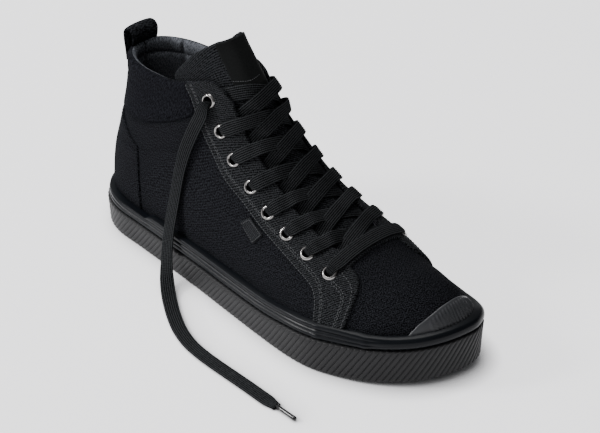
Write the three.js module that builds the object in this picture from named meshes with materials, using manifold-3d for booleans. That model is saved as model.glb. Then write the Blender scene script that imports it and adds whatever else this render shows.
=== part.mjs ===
// High top sneaker for the right foot: a laced canvas upper on a ribbed rubber cup sole.
// Millimetres. +X points to the toe, +Y to the inner side of the foot, +Z up.
// The solids are laid out from the back of the heel at x = 0, and the group is moved
// so that its origin is the middle of its underside.
import * as THREE from 'three';
import { mergeVertices } from 'three/addons/utils/BufferGeometryUtils.js';
import Module from 'manifold-3d';

const wasm = await Module();
wasm.setup();
const { Manifold, Mesh: ManifoldMesh } = wasm;

// Driving dimensions
const soleLength = 300;
const ballWidth = 107;
const collarHeight = 131;
const toeSpring = 5.9;
const springStart = 0.7 * soleLength;
const fit = 0.3;

// Sole
const seatHeight = 12;
const sidewallHeight = 19;
const ribPitch = 5;
const ribDepth = 0.9;
const ribLean = 10;
const footEdgeInset = 0.8;
const upperInset = 5;
const foxingHeight = 10;
const foxingHeelHeight = 7;
const foxingInset = 1.1;
const foxingGroove = 0.7;
const toeBandBulge = 0.5;
const insoleThickness = 4;

// Upper and what is sewn on it
const upperWall = 2.4;
const eyestayThickness = 1.5;
const counterThickness = 1.1;
const cuffThickness = 1.3;
const bumperThickness = 2;
const bumperStart = 0.936 * soleLength;
const throatHalfWidth = 19.5;
const throatTopHalfWidth = 16;
const throatEnd = 0.762 * soleLength;
const tongueThickness = 4;
const tonguePuff = 1.5;
const tongueGap = 0.5;
const labelThickness = 0.9;
const labelHalfWidth = 14;
const labelLow = 1.085 * collarHeight;
const labelDrop = 1.2;
const tabThickness = 1;

// Hardware and laces
const eyeletFlange = 10;
const eyeletBore = 5.2;
const eyeletBarrelWall = 0.5;
const eyeletRise = 1.3;
const laceWidth = 9.5;
const laceThickness = 1.5;
const laceLift = 1.1;
const loopWidth = 22;
const loopThickness = 1.6;
const loopHeight = 11;
const loopBend = 45;
const loopTail = 12;
const loopLean = 2.4;
const loopCrown = 4.5;
const heelBow = 3.5;
const agletLength = 16;
const agletWidth = 3.2;

// Outline of the sole, once round from the back of the heel by the outer side:
// along as a share of the sole's length, across as a share of the ball width.
const outlineRows = [
  { along: 0.000, across: 0.000 },
  { along: 0.007, across: -0.121 },
  { along: 0.027, across: -0.224 },
  { along: 0.060, across: -0.304 },
  { along: 0.110, across: -0.355 },
  { along: 0.183, across: -0.372 },
  { along: 0.273, across: -0.393 },
  { along: 0.383, across: -0.422 },
  { along: 0.500, across: -0.461 },
  { along: 0.607, across: -0.495 },
  { along: 0.693, across: -0.514 },
  { along: 0.760, across: -0.505 },
  { along: 0.823, across: -0.453 },
  { along: 0.877, across: -0.383 },
  { along: 0.923, across: -0.290 },
  { along: 0.963, across: -0.173 },
  { along: 0.990, across: -0.037 },
  { along: 1.003, across: 0.112 },
  { along: 0.998, across: 0.206 },
  { along: 0.980, across: 0.285 },
  { along: 0.947, across: 0.336 },
  { along: 0.900, across: 0.369 },
  { along: 0.833, across: 0.407 },
  { along: 0.760, across: 0.435 },
  { along: 0.690, across: 0.444 },
  { along: 0.617, across: 0.430 },
  { along: 0.500, across: 0.388 },
  { along: 0.383, across: 0.350 },
  { along: 0.267, across: 0.341 },
  { along: 0.167, across: 0.338 },
  { along: 0.107, across: 0.320 },
  { along: 0.057, across: 0.285 },
  { along: 0.023, across: 0.210 },
  { along: 0.005, across: 0.112 },
];

// Height of the ribbed sidewall along the sole, as a share of its height at the waist.
const sidewallRows = [
  { along: 0.00, height: 1.05 },
  { along: 0.15, height: 0.96 },
  { along: 0.50, height: 1.00 },
  { along: 0.62, height: 1.05 },
  { along: 0.70, height: 1.18 },
  { along: 0.80, height: 1.26 },
  { along: 0.88, height: 1.27 },
  { along: 0.95, height: 1.27 },
  { along: 1.00, height: 1.32 },
];

// Sections of the upper from the toe to above the collar. Each lies in a plane across the
// shoe through a low or rear point and a top point. lowX and topX are shares of the sole's
// length, lowZ and topZ of the collar height, and centre, outer and inner of the ball width:
// where the ridge runs, and the reach to either side before upperInset comes off. widest is
// the place of the widest point between low and top, and the last columns are the fullness
// of the curve below it, and above it on the outer and the inner side.
const sectionRows = [
  { lowX: 0.979, lowZ: 0.046, topX: 0.982, topZ: 0.275, centre: 0.112, outer: 0.136, inner: 0.140, widest: 0.50,
    lowRound: 2.6, outerRound: 2.2, innerRound: 2.2 },
  { lowX: 0.967, lowZ: 0.015, topX: 0.972, topZ: 0.313, centre: 0.098, outer: 0.210, inner: 0.206, widest: 0.48,
    lowRound: 3.0, outerRound: 2.2, innerRound: 2.2 },
  { lowX: 0.947, lowZ: 0.000, topX: 0.953, topZ: 0.365, centre: 0.075, outer: 0.276, inner: 0.262, widest: 0.45,
    lowRound: 3.4, outerRound: 2.1, innerRound: 2.1 },
  { lowX: 0.913, lowZ: 0.000, topX: 0.923, topZ: 0.412, centre: 0.051, outer: 0.346, inner: 0.307, widest: 0.42,
    lowRound: 3.8, outerRound: 2.1, innerRound: 2.1 },
  { lowX: 0.867, lowZ: 0.000, topX: 0.880, topZ: 0.443, centre: 0.028, outer: 0.421, inner: 0.353, widest: 0.40,
    lowRound: 4.0, outerRound: 2.1, innerRound: 2.1 },
  { lowX: 0.807, lowZ: 0.000, topX: 0.827, topZ: 0.458, centre: 0.014, outer: 0.481, inner: 0.400, widest: 0.38,
    lowRound: 4.0, outerRound: 2.1, innerRound: 2.2 },
  { lowX: 0.733, lowZ: 0.000, topX: 0.767, topZ: 0.492, centre: 0.005, outer: 0.514, inner: 0.430, widest: 0.36,
    lowRound: 4.0, outerRound: 2.1, innerRound: 2.5 },
  { lowX: 0.653, lowZ: 0.000, topX: 0.707, topZ: 0.531, centre: 0.000, outer: 0.507, inner: 0.444, widest: 0.34,
    lowRound: 4.0, outerRound: 2.1, innerRound: 2.6 },
  { lowX: 0.560, lowZ: 0.000, topX: 0.653, topZ: 0.584, centre: 0.000, outer: 0.481, inner: 0.425, widest: 0.32,
    lowRound: 4.0, outerRound: 2.1, innerRound: 2.6 },
  { lowX: 0.453, lowZ: 0.000, topX: 0.603, topZ: 0.656, centre: 0.000, outer: 0.444, inner: 0.393, widest: 0.31,
    lowRound: 3.8, outerRound: 2.1, innerRound: 2.6 },
  { lowX: 0.333, lowZ: 0.000, topX: 0.557, topZ: 0.744, centre: 0.000, outer: 0.411, inner: 0.364, widest: 0.31,
    lowRound: 3.4, outerRound: 2.2, innerRound: 2.7 },
  { lowX: 0.207, lowZ: 0.000, topX: 0.517, topZ: 0.836, centre: 0.000, outer: 0.383, inner: 0.346, widest: 0.32,
    lowRound: 3.0, outerRound: 2.3, innerRound: 2.7 },
  { lowX: 0.093, lowZ: 0.000, topX: 0.488, topZ: 0.916, centre: 0.000, outer: 0.350, inner: 0.327, widest: 0.34,
    lowRound: 2.7, outerRound: 2.4, innerRound: 2.7 },
  { lowX: 0.015, lowZ: 0.046, topX: 0.470, topZ: 0.989, centre: 0.000, outer: 0.336, inner: 0.313, widest: 0.36,
    lowRound: 2.4, outerRound: 2.5, innerRound: 2.7 },
  { lowX: 0.010, lowZ: 0.214, topX: 0.450, topZ: 1.053, centre: 0.000, outer: 0.327, inner: 0.304, widest: 0.38,
    lowRound: 2.3, outerRound: 2.5, innerRound: 2.6 },
  { lowX: 0.015, lowZ: 0.366, topX: 0.433, topZ: 1.107, centre: 0.000, outer: 0.315, inner: 0.294, widest: 0.40,
    lowRound: 2.2, outerRound: 2.5, innerRound: 2.6 },
  { lowX: 0.032, lowZ: 0.504, topX: 0.420, topZ: 1.149, centre: 0.000, outer: 0.304, inner: 0.285, widest: 0.42,
    lowRound: 2.2, outerRound: 2.5, innerRound: 2.5 },
  { lowX: 0.050, lowZ: 0.641, topX: 0.405, topZ: 1.191, centre: 0.000, outer: 0.296, inner: 0.277, widest: 0.43,
    lowRound: 2.2, outerRound: 2.5, innerRound: 2.5 },
  { lowX: 0.067, lowZ: 0.794, topX: 0.390, topZ: 1.229, centre: 0.000, outer: 0.292, inner: 0.271, widest: 0.44,
    lowRound: 2.2, outerRound: 2.5, innerRound: 2.5 },
  { lowX: 0.073, lowZ: 0.931, topX: 0.377, topZ: 1.267, centre: 0.000, outer: 0.290, inner: 0.268, widest: 0.45,
    lowRound: 2.2, outerRound: 2.5, innerRound: 2.5 },
  { lowX: 0.073, lowZ: 1.069, topX: 0.360, topZ: 1.313, centre: 0.000, outer: 0.290, inner: 0.266, widest: 0.46,
    lowRound: 2.2, outerRound: 2.5, innerRound: 2.5 },
  { lowX: 0.070, lowZ: 1.191, topX: 0.347, topZ: 1.359, centre: 0.000, outer: 0.290, inner: 0.266, widest: 0.47,
    lowRound: 2.2, outerRound: 2.5, innerRound: 2.5 },
];
const toeTip = { along: 0.986, centre: 0.112, height: 0.180 };
const sectionsPerRow = 1;
const pointsRound = 24;
const facetTolerance = 0.08;

// Edges of the pieces in side view: along as a share of the sole's length, up of the collar height.
const collarRows = [
  { along: -0.05, up: 0.985 },
  { along: 0.08, up: 0.985 },
  { along: 0.20, up: 0.990 },
  { along: 0.27, up: 1.000 },
  { along: 0.31, up: 1.026 },
  { along: 0.35, up: 1.062 },
  { along: 0.375, up: 1.068 },
  { along: 0.40, up: 1.045 },
  { along: 0.42, up: 1.000 },
];
const cuffSeamRows = [
  { along: -0.05, up: 0.672 },
  { along: 0.09, up: 0.674 },
  { along: 0.135, up: 0.686 },
  { along: 0.19, up: 0.708 },
  { along: 0.23, up: 0.744 },
  { along: 0.28, up: 0.795 },
  { along: 0.36, up: 0.910 },
];
const counterEdgeRows = [
  { along: 0.088, up: 0.655 },
  { along: 0.124, up: 0.590 },
  { along: 0.155, up: 0.545 },
  { along: 0.165, up: 0.490 },
  { along: 0.166, up: 0.400 },
  { along: 0.168, up: 0.300 },
  { along: 0.172, up: 0.150 },
];
const eyestayRearRows = [
  { along: 0.300, up: 1.200 },
  { along: 0.308, up: 1.020 },
  { along: 0.342, up: 0.895 },
  { along: 0.396, up: 0.718 },
  { along: 0.453, up: 0.628 },
  { along: 0.530, up: 0.528 },
  { along: 0.624, up: 0.444 },
  { along: 0.702, up: 0.398 },
  { along: 0.737, up: 0.365 },
  { along: 0.750, up: 0.300 },
  { along: 0.756, up: 0.150 },
];
const eyestayFrontRows = [
  { along: 0.820, up: 0.150 },
  { along: 0.823, up: 0.290 },
  { along: 0.822, up: 0.350 },
  { along: 0.817, up: 0.393 },
  { along: 0.809, up: 0.420 },
  { along: 0.798, up: 0.437 },
  { along: 0.784, up: 0.454 },
  { along: 0.768, up: 0.466 },
  { along: 0.768, up: 0.600 },
];
const tongueEdgeRows = [
  { along: 0.330, up: 1.215 },
  { along: 0.315, up: 1.165 },
  { along: 0.265, up: 1.030 },
  { along: 0.270, up: 0.930 },
  { along: 0.330, up: 0.770 },
  { along: 0.420, up: 0.610 },
  { along: 0.540, up: 0.470 },
  { along: 0.670, up: 0.360 },
  { along: 0.790, up: 0.330 },
];
const tongueTopSlope = 0.4;
const tabCorners = [
  { along: 0.503, up: 0.479 },
  { along: 0.524, up: 0.522 },
  { along: 0.569, up: 0.474 },
  { along: 0.550, up: 0.416 },
];

// Eyelets from the top of the shaft to the vamp: along as a share of the sole's length,
// across as a share of the ball width to either side.
const eyeletRows = [
  { along: 0.372, across: 0.208 },
  { along: 0.408, across: 0.213 },
  { along: 0.451, across: 0.229 },
  { along: 0.507, across: 0.245 },
  { along: 0.562, across: 0.262 },
  { along: 0.620, across: 0.273 },
  { along: 0.681, across: 0.282 },
  { along: 0.745, across: 0.289 },
];

// Route of the free lace end, from the top outer eyelet over the sole's edge and along the
// floor: points chosen by hand, with the way that the lace's flat face looks.
const laceEndRoute = [
  { at: [112.3, -27.3, 127.4], faces: [0.2, -1.0, 0.3] },
  { at: [111.0, -28.6, 123.0], faces: [0.2, -1.0, 0.1] },
  { at: [108.6, -28.8, 117.0], faces: [0.1, -1.0, 0.1] },
  { at: [104.6, -29.4, 109.0], faces: [0.1, -1.0, 0.1] },
  { at: [100.6, -30.5, 99.5], faces: [0.1, -1.0, 0.1] },
  { at: [96.6, -32.0, 88.0], faces: [0.1, -1.0, 0.1] },
  { at: [93.2, -33.6, 73.5], faces: [0.0, -1.0, 0.1] },
  { at: [91.2, -35.9, 57.5], faces: [0.0, -1.0, 0.2] },
  { at: [90.9, -39.0, 45.0], faces: [0.0, -1.0, 0.3] },
  { at: [91.8, -42.8, 34.8], faces: [0.0, -1.0, 0.4] },
  { at: [93.6, -46.6, 25.6], faces: [0.0, -1.0, 0.5] },
  { at: [96.4, -50.4, 17.4], faces: [0.0, -0.9, 0.6] },
  { at: [100.4, -54.6, 10.2], faces: [0.1, -0.7, 0.8] },
  { at: [105.6, -58.9, 4.6], faces: [0.2, -0.4, 0.9] },
  { at: [112.0, -63.6, 1.6], faces: [0.0, -0.1, 1.0] },
  { at: [119.5, -68.8, 1.0], faces: [0.0, 0.0, 1.0] },
  { at: [130.8, -76.0, 1.0], faces: [0.0, 0.0, 1.0] },
  { at: [144.5, -83.2, 1.0], faces: [0.0, 0.0, 1.0] },
  { at: [158.5, -88.0, 1.0], faces: [0.0, 0.0, 1.0] },
  { at: [172.0, -90.2, 1.0], faces: [0.0, 0.0, 1.0] },
  { at: [185.5, -91.1, 1.0], faces: [0.0, 0.0, 1.0] },
  { at: [200.0, -91.6, 1.0], faces: [0.0, 0.0, 1.0] },
  { at: [214.5, -92.1, 1.0], faces: [0.0, 0.0, 1.0] },
  { at: [228.0, -92.8, 1.0], faces: [0.0, 0.0, 1.0] },
  { at: [240.6, -93.4, 1.0], faces: [0.0, 0.0, 1.0] },
];

const materials = {
  canvas: new THREE.MeshStandardMaterial({ color: 0x24262a, roughness: 0.95 }),
  twill: new THREE.MeshStandardMaterial({ color: 0x2a2b2d, roughness: 0.95 }),
  cuffCloth: new THREE.MeshStandardMaterial({ color: 0x22252b, roughness: 0.8 }),
  rubber: new THREE.MeshStandardMaterial({ color: 0x3a3a39, roughness: 0.6 }),
  webbing: new THREE.MeshStandardMaterial({ color: 0x1f1f20, roughness: 0.9 }),
  nickel: new THREE.MeshStandardMaterial({ color: 0xc8c8c8, roughness: 0.25, metalness: 1 }),
  plastic: new THREE.MeshStandardMaterial({ color: 0x151515, roughness: 0.35 }),
};

// Smooth value of one column of a table at a place between its rows.
function smoothColumn(rows, column, place) {
  const last = rows.length - 1;
  const index = Math.min(Math.max(Math.floor(place), 0), last - 1);
  const part = place - index;
  const value = (i) => rows[Math.min(Math.max(i, 0), last)][column];
  const [before, start, end, after] = [value(index - 1), value(index), value(index + 1), value(index + 2)];
  const startSlope = index === 0 ? end - start : (end - before) / 2;
  const endSlope = index === last - 1 ? end - start : (after - start) / 2;
  const square = part * part;
  const cube = square * part;
  return (2 * cube - 3 * square + 1) * start + (cube - 2 * square + part) * startSlope
    + (3 * square - 2 * cube) * end + (cube - square) * endSlope;
}

// Value of a column by the share along the sole.
function columnAlong(rows, column, along) {
  let index = 0;
  while (index < rows.length - 2 && along > rows[index + 1].along) index += 1;
  const span = rows[index + 1].along - rows[index].along;
  const part = Math.min(Math.max((along - rows[index].along) / span, 0), 1);
  return smoothColumn(rows, column, index + part);
}

function spring(x) {
  const reach = Math.max(0, (x - springStart) / (soleLength - springStart));
  return toeSpring * reach * reach;
}

function sidewallTop(x) {
  return sidewallHeight * columnAlong(sidewallRows, 'height', x / soleLength) + spring(x);
}

function foxingTop(x) {
  const step = THREE.MathUtils.smoothstep(x / soleLength, 0.2, 0.22);
  return sidewallTop(x) + fit + THREE.MathUtils.lerp(foxingHeelHeight, foxingHeight, step);
}

// Closed solids
function solidFromMesh(positions, triangles) {
  let geometry = new THREE.BufferGeometry();
  geometry.setAttribute('position', new THREE.Float32BufferAttribute(positions.flatMap((p) => [p.x, p.y, p.z]), 3));
  geometry.setIndex(triangles.flat());
  return solidFromGeometry(geometry);
}

function solidFromGeometry(geometry) {
  const bare = geometry.clone();
  bare.deleteAttribute('normal');
  bare.deleteAttribute('uv');
  const merged = mergeVertices(bare, 1e-4);
  const solid = new Manifold(new ManifoldMesh({
    numProp: 3,
    vertProperties: new Float32Array(merged.attributes.position.array),
    triVerts: new Uint32Array(merged.index.array),
  }));
  return solid.volume() < 0 ? flipped(merged) : solid;
}

function flipped(geometry) {
  const triangles = new Uint32Array(geometry.index.array);
  for (let i = 0; i < triangles.length; i += 3) {
    [triangles[i], triangles[i + 1]] = [triangles[i + 1], triangles[i]];
  }
  const vertProperties = new Float32Array(geometry.attributes.position.array);
  return new Manifold(new ManifoldMesh({ numProp: 3, vertProperties, triVerts: triangles }));
}

function geometryFromSolid(solid) {
  const mesh = solid.getMesh();
  const geometry = new THREE.BufferGeometry();
  geometry.setAttribute('position', new THREE.Float32BufferAttribute(mesh.vertProperties, 3));
  geometry.setIndex(new THREE.Uint32BufferAttribute(mesh.triVerts, 1));
  return geometry;
}

// Rings of equal length stacked into one solid, closed by strips across its first and last ring.
function solidFromRings(rings, pairShifts) {
  const count = rings[0].length;
  const positions = rings.flat();
  const triangles = [];
  for (let r = 0; r < rings.length - 1; r += 1) {
    for (let j = 0; j < count; j += 1) {
      const next = (j + 1) % count;
      const [a, b] = [r * count + j, r * count + next];
      triangles.push([a, b, b + count], [a, b + count, a + count]);
    }
  }
  const closeRing = (ring, shift, turned) => {
    const wrap = (j) => ring * count + (((j - shift) % count) + count) % count;
    for (let j = 0; j < count / 2; j += 1) {
      const corners = [wrap(j), wrap(j + 1), wrap(count - j - 1), wrap(count - j)];
      for (const [p, q, s] of [[0, 1, 2], [0, 2, 3]]) {
        const triangle = [corners[p], corners[q], corners[s]];
        if (new Set(triangle).size < 3) continue;
        triangles.push(turned ? triangle : triangle.reverse());
      }
    }
  };
  closeRing(0, pairShifts[0], false);
  closeRing(rings.length - 1, pairShifts[1], true);
  return solidFromMesh(positions, triangles);
}

// A side view outline in X and Z, extruded across the shoe between two y values.
function sidePrism(points, yFrom, yTo) {
  const shape = new THREE.Shape(points.map(([x, z]) => new THREE.Vector2(x, z)));
  const geometry = new THREE.ExtrudeGeometry(shape, { depth: yTo - yFrom, bevelEnabled: false });
  geometry.rotateX(Math.PI / 2);
  geometry.translate(0, yTo, 0);
  return solidFromGeometry(geometry);
}

// Everything between two heights that vary along the shoe.
function layer(lowAt, highAt, xFrom, xTo) {
  const steps = 16;
  const xs = Array.from({ length: steps + 1 }, (_, i) => THREE.MathUtils.lerp(xFrom, xTo, i / steps));
  const points = [...xs.map((x) => [x, lowAt(x)]), ...xs.reverse().map((x) => [x, highAt(x)])];
  return sidePrism(points, -ballWidth, ballWidth);
}

// The upper's form
function sectionPoint(place, round) {
  const at = (column) => smoothColumn(sectionRows, column, place);
  const angle = 2 * Math.PI * round;
  const [cosine, sine] = [Math.cos(angle), Math.sin(angle)];
  const topRound = sine > 0 ? 'outerRound' : 'innerRound';
  const fullness = at(cosine > 0 ? 'lowRound' : topRound);
  const rise = Math.abs(cosine) ** (2 / fullness);
  const widest = at('widest');
  const between = cosine > 0 ? widest * (1 - rise) : widest + (1 - widest) * rise;
  const reach = at(sine > 0 ? 'outer' : 'inner') * ballWidth - upperInset;
  const across = -Math.sign(sine) * reach * Math.abs(sine) ** (2 / fullness);
  return new THREE.Vector3(
    soleLength * THREE.MathUtils.lerp(at('lowX'), at('topX'), between),
    ballWidth * at('centre') + across,
    collarHeight * THREE.MathUtils.lerp(at('lowZ'), at('topZ'), between),
  );
}

function sectionNormal(place, round) {
  const last = sectionRows.length - 1;
  const [before, after] = [Math.max(place - 0.05, 0), Math.min(place + 0.05, last)];
  const alongStep = sectionPoint(after, round).sub(sectionPoint(before, round));
  const roundStep = sectionPoint(place, round + 0.004).sub(sectionPoint(place, round - 0.004));
  return roundStep.cross(alongStep).normalize();
}

// The closed form, grown outwards by an offset that may vary from place to place.
function form(offsetAt) {
  const offset = typeof offsetAt === 'function' ? offsetAt : () => offsetAt;
  const last = sectionRows.length - 1;
  const count = Math.round(last * sectionsPerRow);
  const rings = [];
  for (let i = 0; i <= count; i += 1) {
    const place = last * i / count;
    rings.push(Array.from({ length: pointsRound }, (_, j) => {
      const round = j / pointsRound;
      const point = sectionPoint(place, round);
      return point.addScaledVector(sectionNormal(place, round), offset(point, place, round));
    }));
  }
  const positions = rings.flat();
  const tip = new THREE.Vector3(toeTip.along * soleLength, toeTip.centre * ballWidth, toeTip.height * collarHeight);
  tip.x += offset(tip, 0, 0);
  const top = rings[count].reduce((sum, p) => sum.add(p), new THREE.Vector3()).divideScalar(pointsRound);
  const tipIndex = positions.push(tip) - 1;
  const topIndex = positions.push(top) - 1;
  const triangles = [];
  for (let j = 0; j < pointsRound; j += 1) {
    const next = (j + 1) % pointsRound;
    for (let i = 0; i < count; i += 1) {
      const [a, b] = [i * pointsRound + j, i * pointsRound + next];
      triangles.push([a, b, b + pointsRound], [a, b + pointsRound, a + pointsRound]);
    }
    triangles.push([tipIndex, next, j]);
    triangles.push([topIndex, count * pointsRound + j, count * pointsRound + next]);
  }
  return solidFromMesh(positions, triangles);
}

const group = new THREE.Group();
function add(name, solid, material) {
  const mesh = new THREE.Mesh(geometryFromSolid(solid.simplify(facetTolerance)), material.clone());
  mesh.name = name;
  group.add(mesh);
  return mesh;
}

// Sole
const outline = new THREE.CatmullRomCurve3(
  outlineRows.map((row) => new THREE.Vector3(row.along * soleLength, row.across * ballWidth, 0)),
  true,
);
outline.arcLengthDivisions = 1200;
const outlineLength = outline.getLength();

function outlinePoint(share, inset, heightAt) {
  const wrapped = ((share % 1) + 1) % 1;
  const point = outline.getPointAt(wrapped);
  const tangent = outline.getTangentAt(wrapped);
  point.x -= tangent.y * inset;
  point.y += tangent.x * inset;
  point.z = heightAt(point.x);
  return point;
}

function outlineRing(count, inset, heightAt, turn = 0) {
  return Array.from({ length: count }, (_, j) => {
    const insetHere = typeof inset === 'function' ? inset(j) : inset;
    return outlinePoint(j / count + turn, insetHere, heightAt);
  });
}

const seatAt = (x) => seatHeight + spring(x);
const formGap = form(fit);
const formOuter = form(0);
const formInner = form(-upperWall);
const tall = 2 * collarHeight;

function makeOutsole() {
  const ribs = Math.round(outlineLength / ribPitch);
  const columns = 2 * ribs;
  const rib = (inset) => (j) => inset + (j % 2) * ribDepth;
  const turn = ribLean / outlineLength;
  const rings = [
    outlineRing(columns, rib(footEdgeInset), spring),
    outlineRing(columns, rib(0), sidewallTop, turn),
  ];
  const shift = Math.round(2 * turn * columns);
  const block = solidFromRings(rings, [0, shift]);
  const cavity = formGap.intersect(layer(seatAt, () => tall, -upperInset, soleLength + upperInset));
  return block.subtract(cavity);
}
add('outsole', makeOutsole(), materials.rubber);

function makeFoxing() {
  const columns = 52;
  const bandInset = (extra) => (j) => {
    const x = outlinePoint(j / columns, 0, () => 0).x;
    return foxingInset + extra - toeBandBulge * THREE.MathUtils.smoothstep(x / soleLength, 0.78, 0.95);
  };
  const between = (share) => (x) => THREE.MathUtils.lerp(sidewallTop(x) + fit, foxingTop(x), share);
  const rings = [
    outlineRing(columns, bandInset(0), between(0)),
    outlineRing(columns, bandInset(0), between(0.45)),
    outlineRing(columns, bandInset(foxingGroove), between(0.52)),
    outlineRing(columns, bandInset(foxingGroove / 2), between(0.85)),
    outlineRing(columns, bandInset(2 * foxingGroove), between(1)),
  ];
  return solidFromRings(rings, [0, 0]).subtract(formGap);
}
add('foxing_band', makeFoxing(), materials.rubber);

// Upper
function collarPoints() {
  const points = collarRows.map((row) => [row.along * soleLength, row.up * collarHeight]);
  const steps = 24;
  const [first, last] = [collarRows[0].along, collarRows.at(-1).along];
  const line = Array.from({ length: steps + 1 }, (_, i) => {
    const along = THREE.MathUtils.lerp(first, last, i / steps);
    return [along * soleLength, columnAlong(collarRows, 'up', along) * collarHeight];
  });
  return [...line, [points.at(-1)[0], tall], [points[0][0], tall]];
}
const aboveCollar = sidePrism(collarPoints(), -ballWidth, ballWidth);

const throatRound = throatEnd - throatHalfWidth;
const throatTop = 0.34 * soleLength;

function throatHalfAt(x) {
  if (x > throatRound) {
    return Math.sqrt(Math.max(throatHalfWidth ** 2 - (x - throatRound) ** 2, 0));
  }
  const part = THREE.MathUtils.clamp((x - throatTop) / (throatRound - throatTop), 0, 1);
  return THREE.MathUtils.lerp(throatTopHalfWidth, throatHalfWidth, part);
}

function throatPrism() {
  const shape = new THREE.Shape();
  const rear = 0.22 * soleLength;
  shape.moveTo(rear, -throatTopHalfWidth);
  shape.lineTo(throatTop, -throatTopHalfWidth);
  shape.lineTo(throatRound, -throatHalfWidth);
  shape.absarc(throatRound, 0, throatHalfWidth, -Math.PI / 2, Math.PI / 2, false);
  shape.lineTo(throatTop, throatTopHalfWidth);
  shape.lineTo(rear, throatTopHalfWidth);
  const geometry = new THREE.ExtrudeGeometry(shape, { depth: tall, bevelEnabled: false, curveSegments: 8 });
  geometry.translate(0, 0, seatHeight + sidewallHeight);
  return solidFromGeometry(geometry);
}
const throat = throatPrism();

const sides = [
  { name: 'outer', sign: -1 },
  { name: 'inner', sign: 1 },
];
const roundOf = { outer: { widest: 0.25, ridge: 0.5 }, inner: { widest: 0.75, ridge: 0.5 } };

// Point and normal of the form on one section, at a distance across from the middle line.
function onSection(place, y) {
  const side = y < 0 ? roundOf.outer : roundOf.inner;
  let [low, high] = [side.widest, side.ridge];
  for (let step = 0; step < 30; step += 1) {
    const middle = (low + high) / 2;
    if (Math.abs(sectionPoint(place, middle).y) > Math.abs(y)) low = middle;
    else high = middle;
  }
  const round = (low + high) / 2;
  return { point: sectionPoint(place, round), normal: sectionNormal(place, round) };
}

// The section that passes through a place on top of the form.
function sectionThrough(x, y) {
  let [low, high] = [0, sectionRows.length - 1];
  for (let step = 0; step < 30; step += 1) {
    const middle = (low + high) / 2;
    if (onSection(middle, y).point.x > x) low = middle;
    else high = middle;
  }
  return (low + high) / 2;
}

const eyelets = eyeletRows.flatMap((row, index) => sides.map((side) => {
  const y = side.sign * row.across * ballWidth;
  const place = sectionThrough(row.along * soleLength, y);
  return { name: `eyelet_${side.name}_${index + 1}`, side: side.name, row: index, y, place, ...onSection(place, y) };
}));
const eyeletAt = (side, row) => eyelets.find((eyelet) => eyelet.side === side && eyelet.row === row);
const barrelRadius = eyeletBore / 2 + eyeletBarrelWall;

function placed(geometry, { point, normal }) {
  const turn = new THREE.Quaternion().setFromUnitVectors(new THREE.Vector3(0, 1, 0), normal);
  geometry.applyQuaternion(turn);
  geometry.translate(point.x, point.y, point.z);
  return geometry;
}

const eyeletHoles = Manifold.union(eyelets.map((eyelet) => {
  const corners = 6;
  const reach = (barrelRadius + fit) / Math.cos(Math.PI / corners);
  const drill = new THREE.CylinderGeometry(reach, reach, 4 * upperWall + eyeletRise, corners);
  return solidFromGeometry(placed(drill, eyelet));
}));

const aboveSeat = layer((x) => seatAt(x) + fit, () => tall, -upperInset, soleLength + upperInset);
const upper = formOuter.subtract(formInner).intersect(aboveSeat)
  .subtract(aboveCollar).subtract(throat).subtract(eyeletHoles);
add('upper', upper, materials.canvas);

const insoleLayer = layer((x) => seatAt(x) + fit, (x) => seatAt(x) + fit + insoleThickness, -upperInset, soleLength);
add('insole', form(-upperWall - fit).intersect(insoleLayer), materials.cuffCloth);

const bumperZone = sidePrism(
  [[bumperStart, 0], [soleLength + upperInset, 0], [soleLength + upperInset, tall], [bumperStart, tall]],
  -ballWidth,
  ballWidth,
);
const aboveFoxing = layer((x) => foxingTop(x) + fit, () => tall, -upperInset, soleLength + 2 * upperInset);
add('toe_bumper', form(fit + bumperThickness).subtract(formGap).intersect(bumperZone).intersect(aboveFoxing), materials.rubber);

// Overlays lie on the upper, cut from the skin between two offsets of its form.
const skin = (thickness) => form(fit + thickness).subtract(formGap).intersect(aboveFoxing);
const edge = (rows) => rows.map((row) => [row.along * soleLength, row.up * collarHeight]);
const far = 2 * soleLength;
const wide = { outer: [-far, -fit], inner: [fit, far] };

function makeEyestay(side) {
  const [rear, front] = [edge(eyestayRearRows), edge(eyestayFrontRows)];
  const zone = sidePrism([...rear, ...front, [front.at(-1)[0], tall], [rear[0][0], tall]], ...wide[side]);
  return skin(eyestayThickness).intersect(zone).subtract(aboveCollar).subtract(throat).subtract(eyeletHoles);
}
for (const side of sides) add(`eyestay_${side.name}`, makeEyestay(side.name), materials.twill);

function makeCuff() {
  const seam = edge(cuffSeamRows);
  const rear = edge(eyestayRearRows).map(([x, z]) => [x - fit, z]);
  const ahead = sidePrism([...rear, [far, rear.at(-1)[1]], [far, tall], [rear[0][0], tall]], -far, far);
  const zone = sidePrism([...seam, [seam.at(-1)[0], tall], [seam[0][0], tall]], -far, far);
  return skin(cuffThickness).intersect(zone).subtract(ahead).subtract(aboveCollar);
}
add('ankle_cuff', makeCuff(), materials.cuffCloth);

function makeCounter() {
  const top = edge(counterEdgeRows);
  const zone = sidePrism([[-far, top[0][1]], ...top, [top.at(-1)[0], 0], [-far, 0]], -far, far);
  return skin(counterThickness).intersect(zone);
}
add('heel_counter', makeCounter(), materials.canvas);

// Tongue, puffed up inside the throat
function tongueOffset(depth) {
  return (point) => {
    const room = throatHalfAt(point.x) - Math.abs(point.y);
    return tonguePuff * THREE.MathUtils.smoothstep(room, 8, 14) - upperWall - tongueGap - depth;
  };
}

function tongueZone(drop) {
  const rows = edge(tongueEdgeRows);
  const reach = 0.45 * soleLength;
  const topFront = [reach, rows[0][1] + tongueTopSlope * (reach - rows[0][0])];
  const lowered = ([x, z]) => [x, z - drop];
  return sidePrism([...rows, [rows.at(-1)[0], tall / 4], [far, tall / 4], [far, topFront[1]], topFront].map(lowered), -far, far);
}

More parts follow.
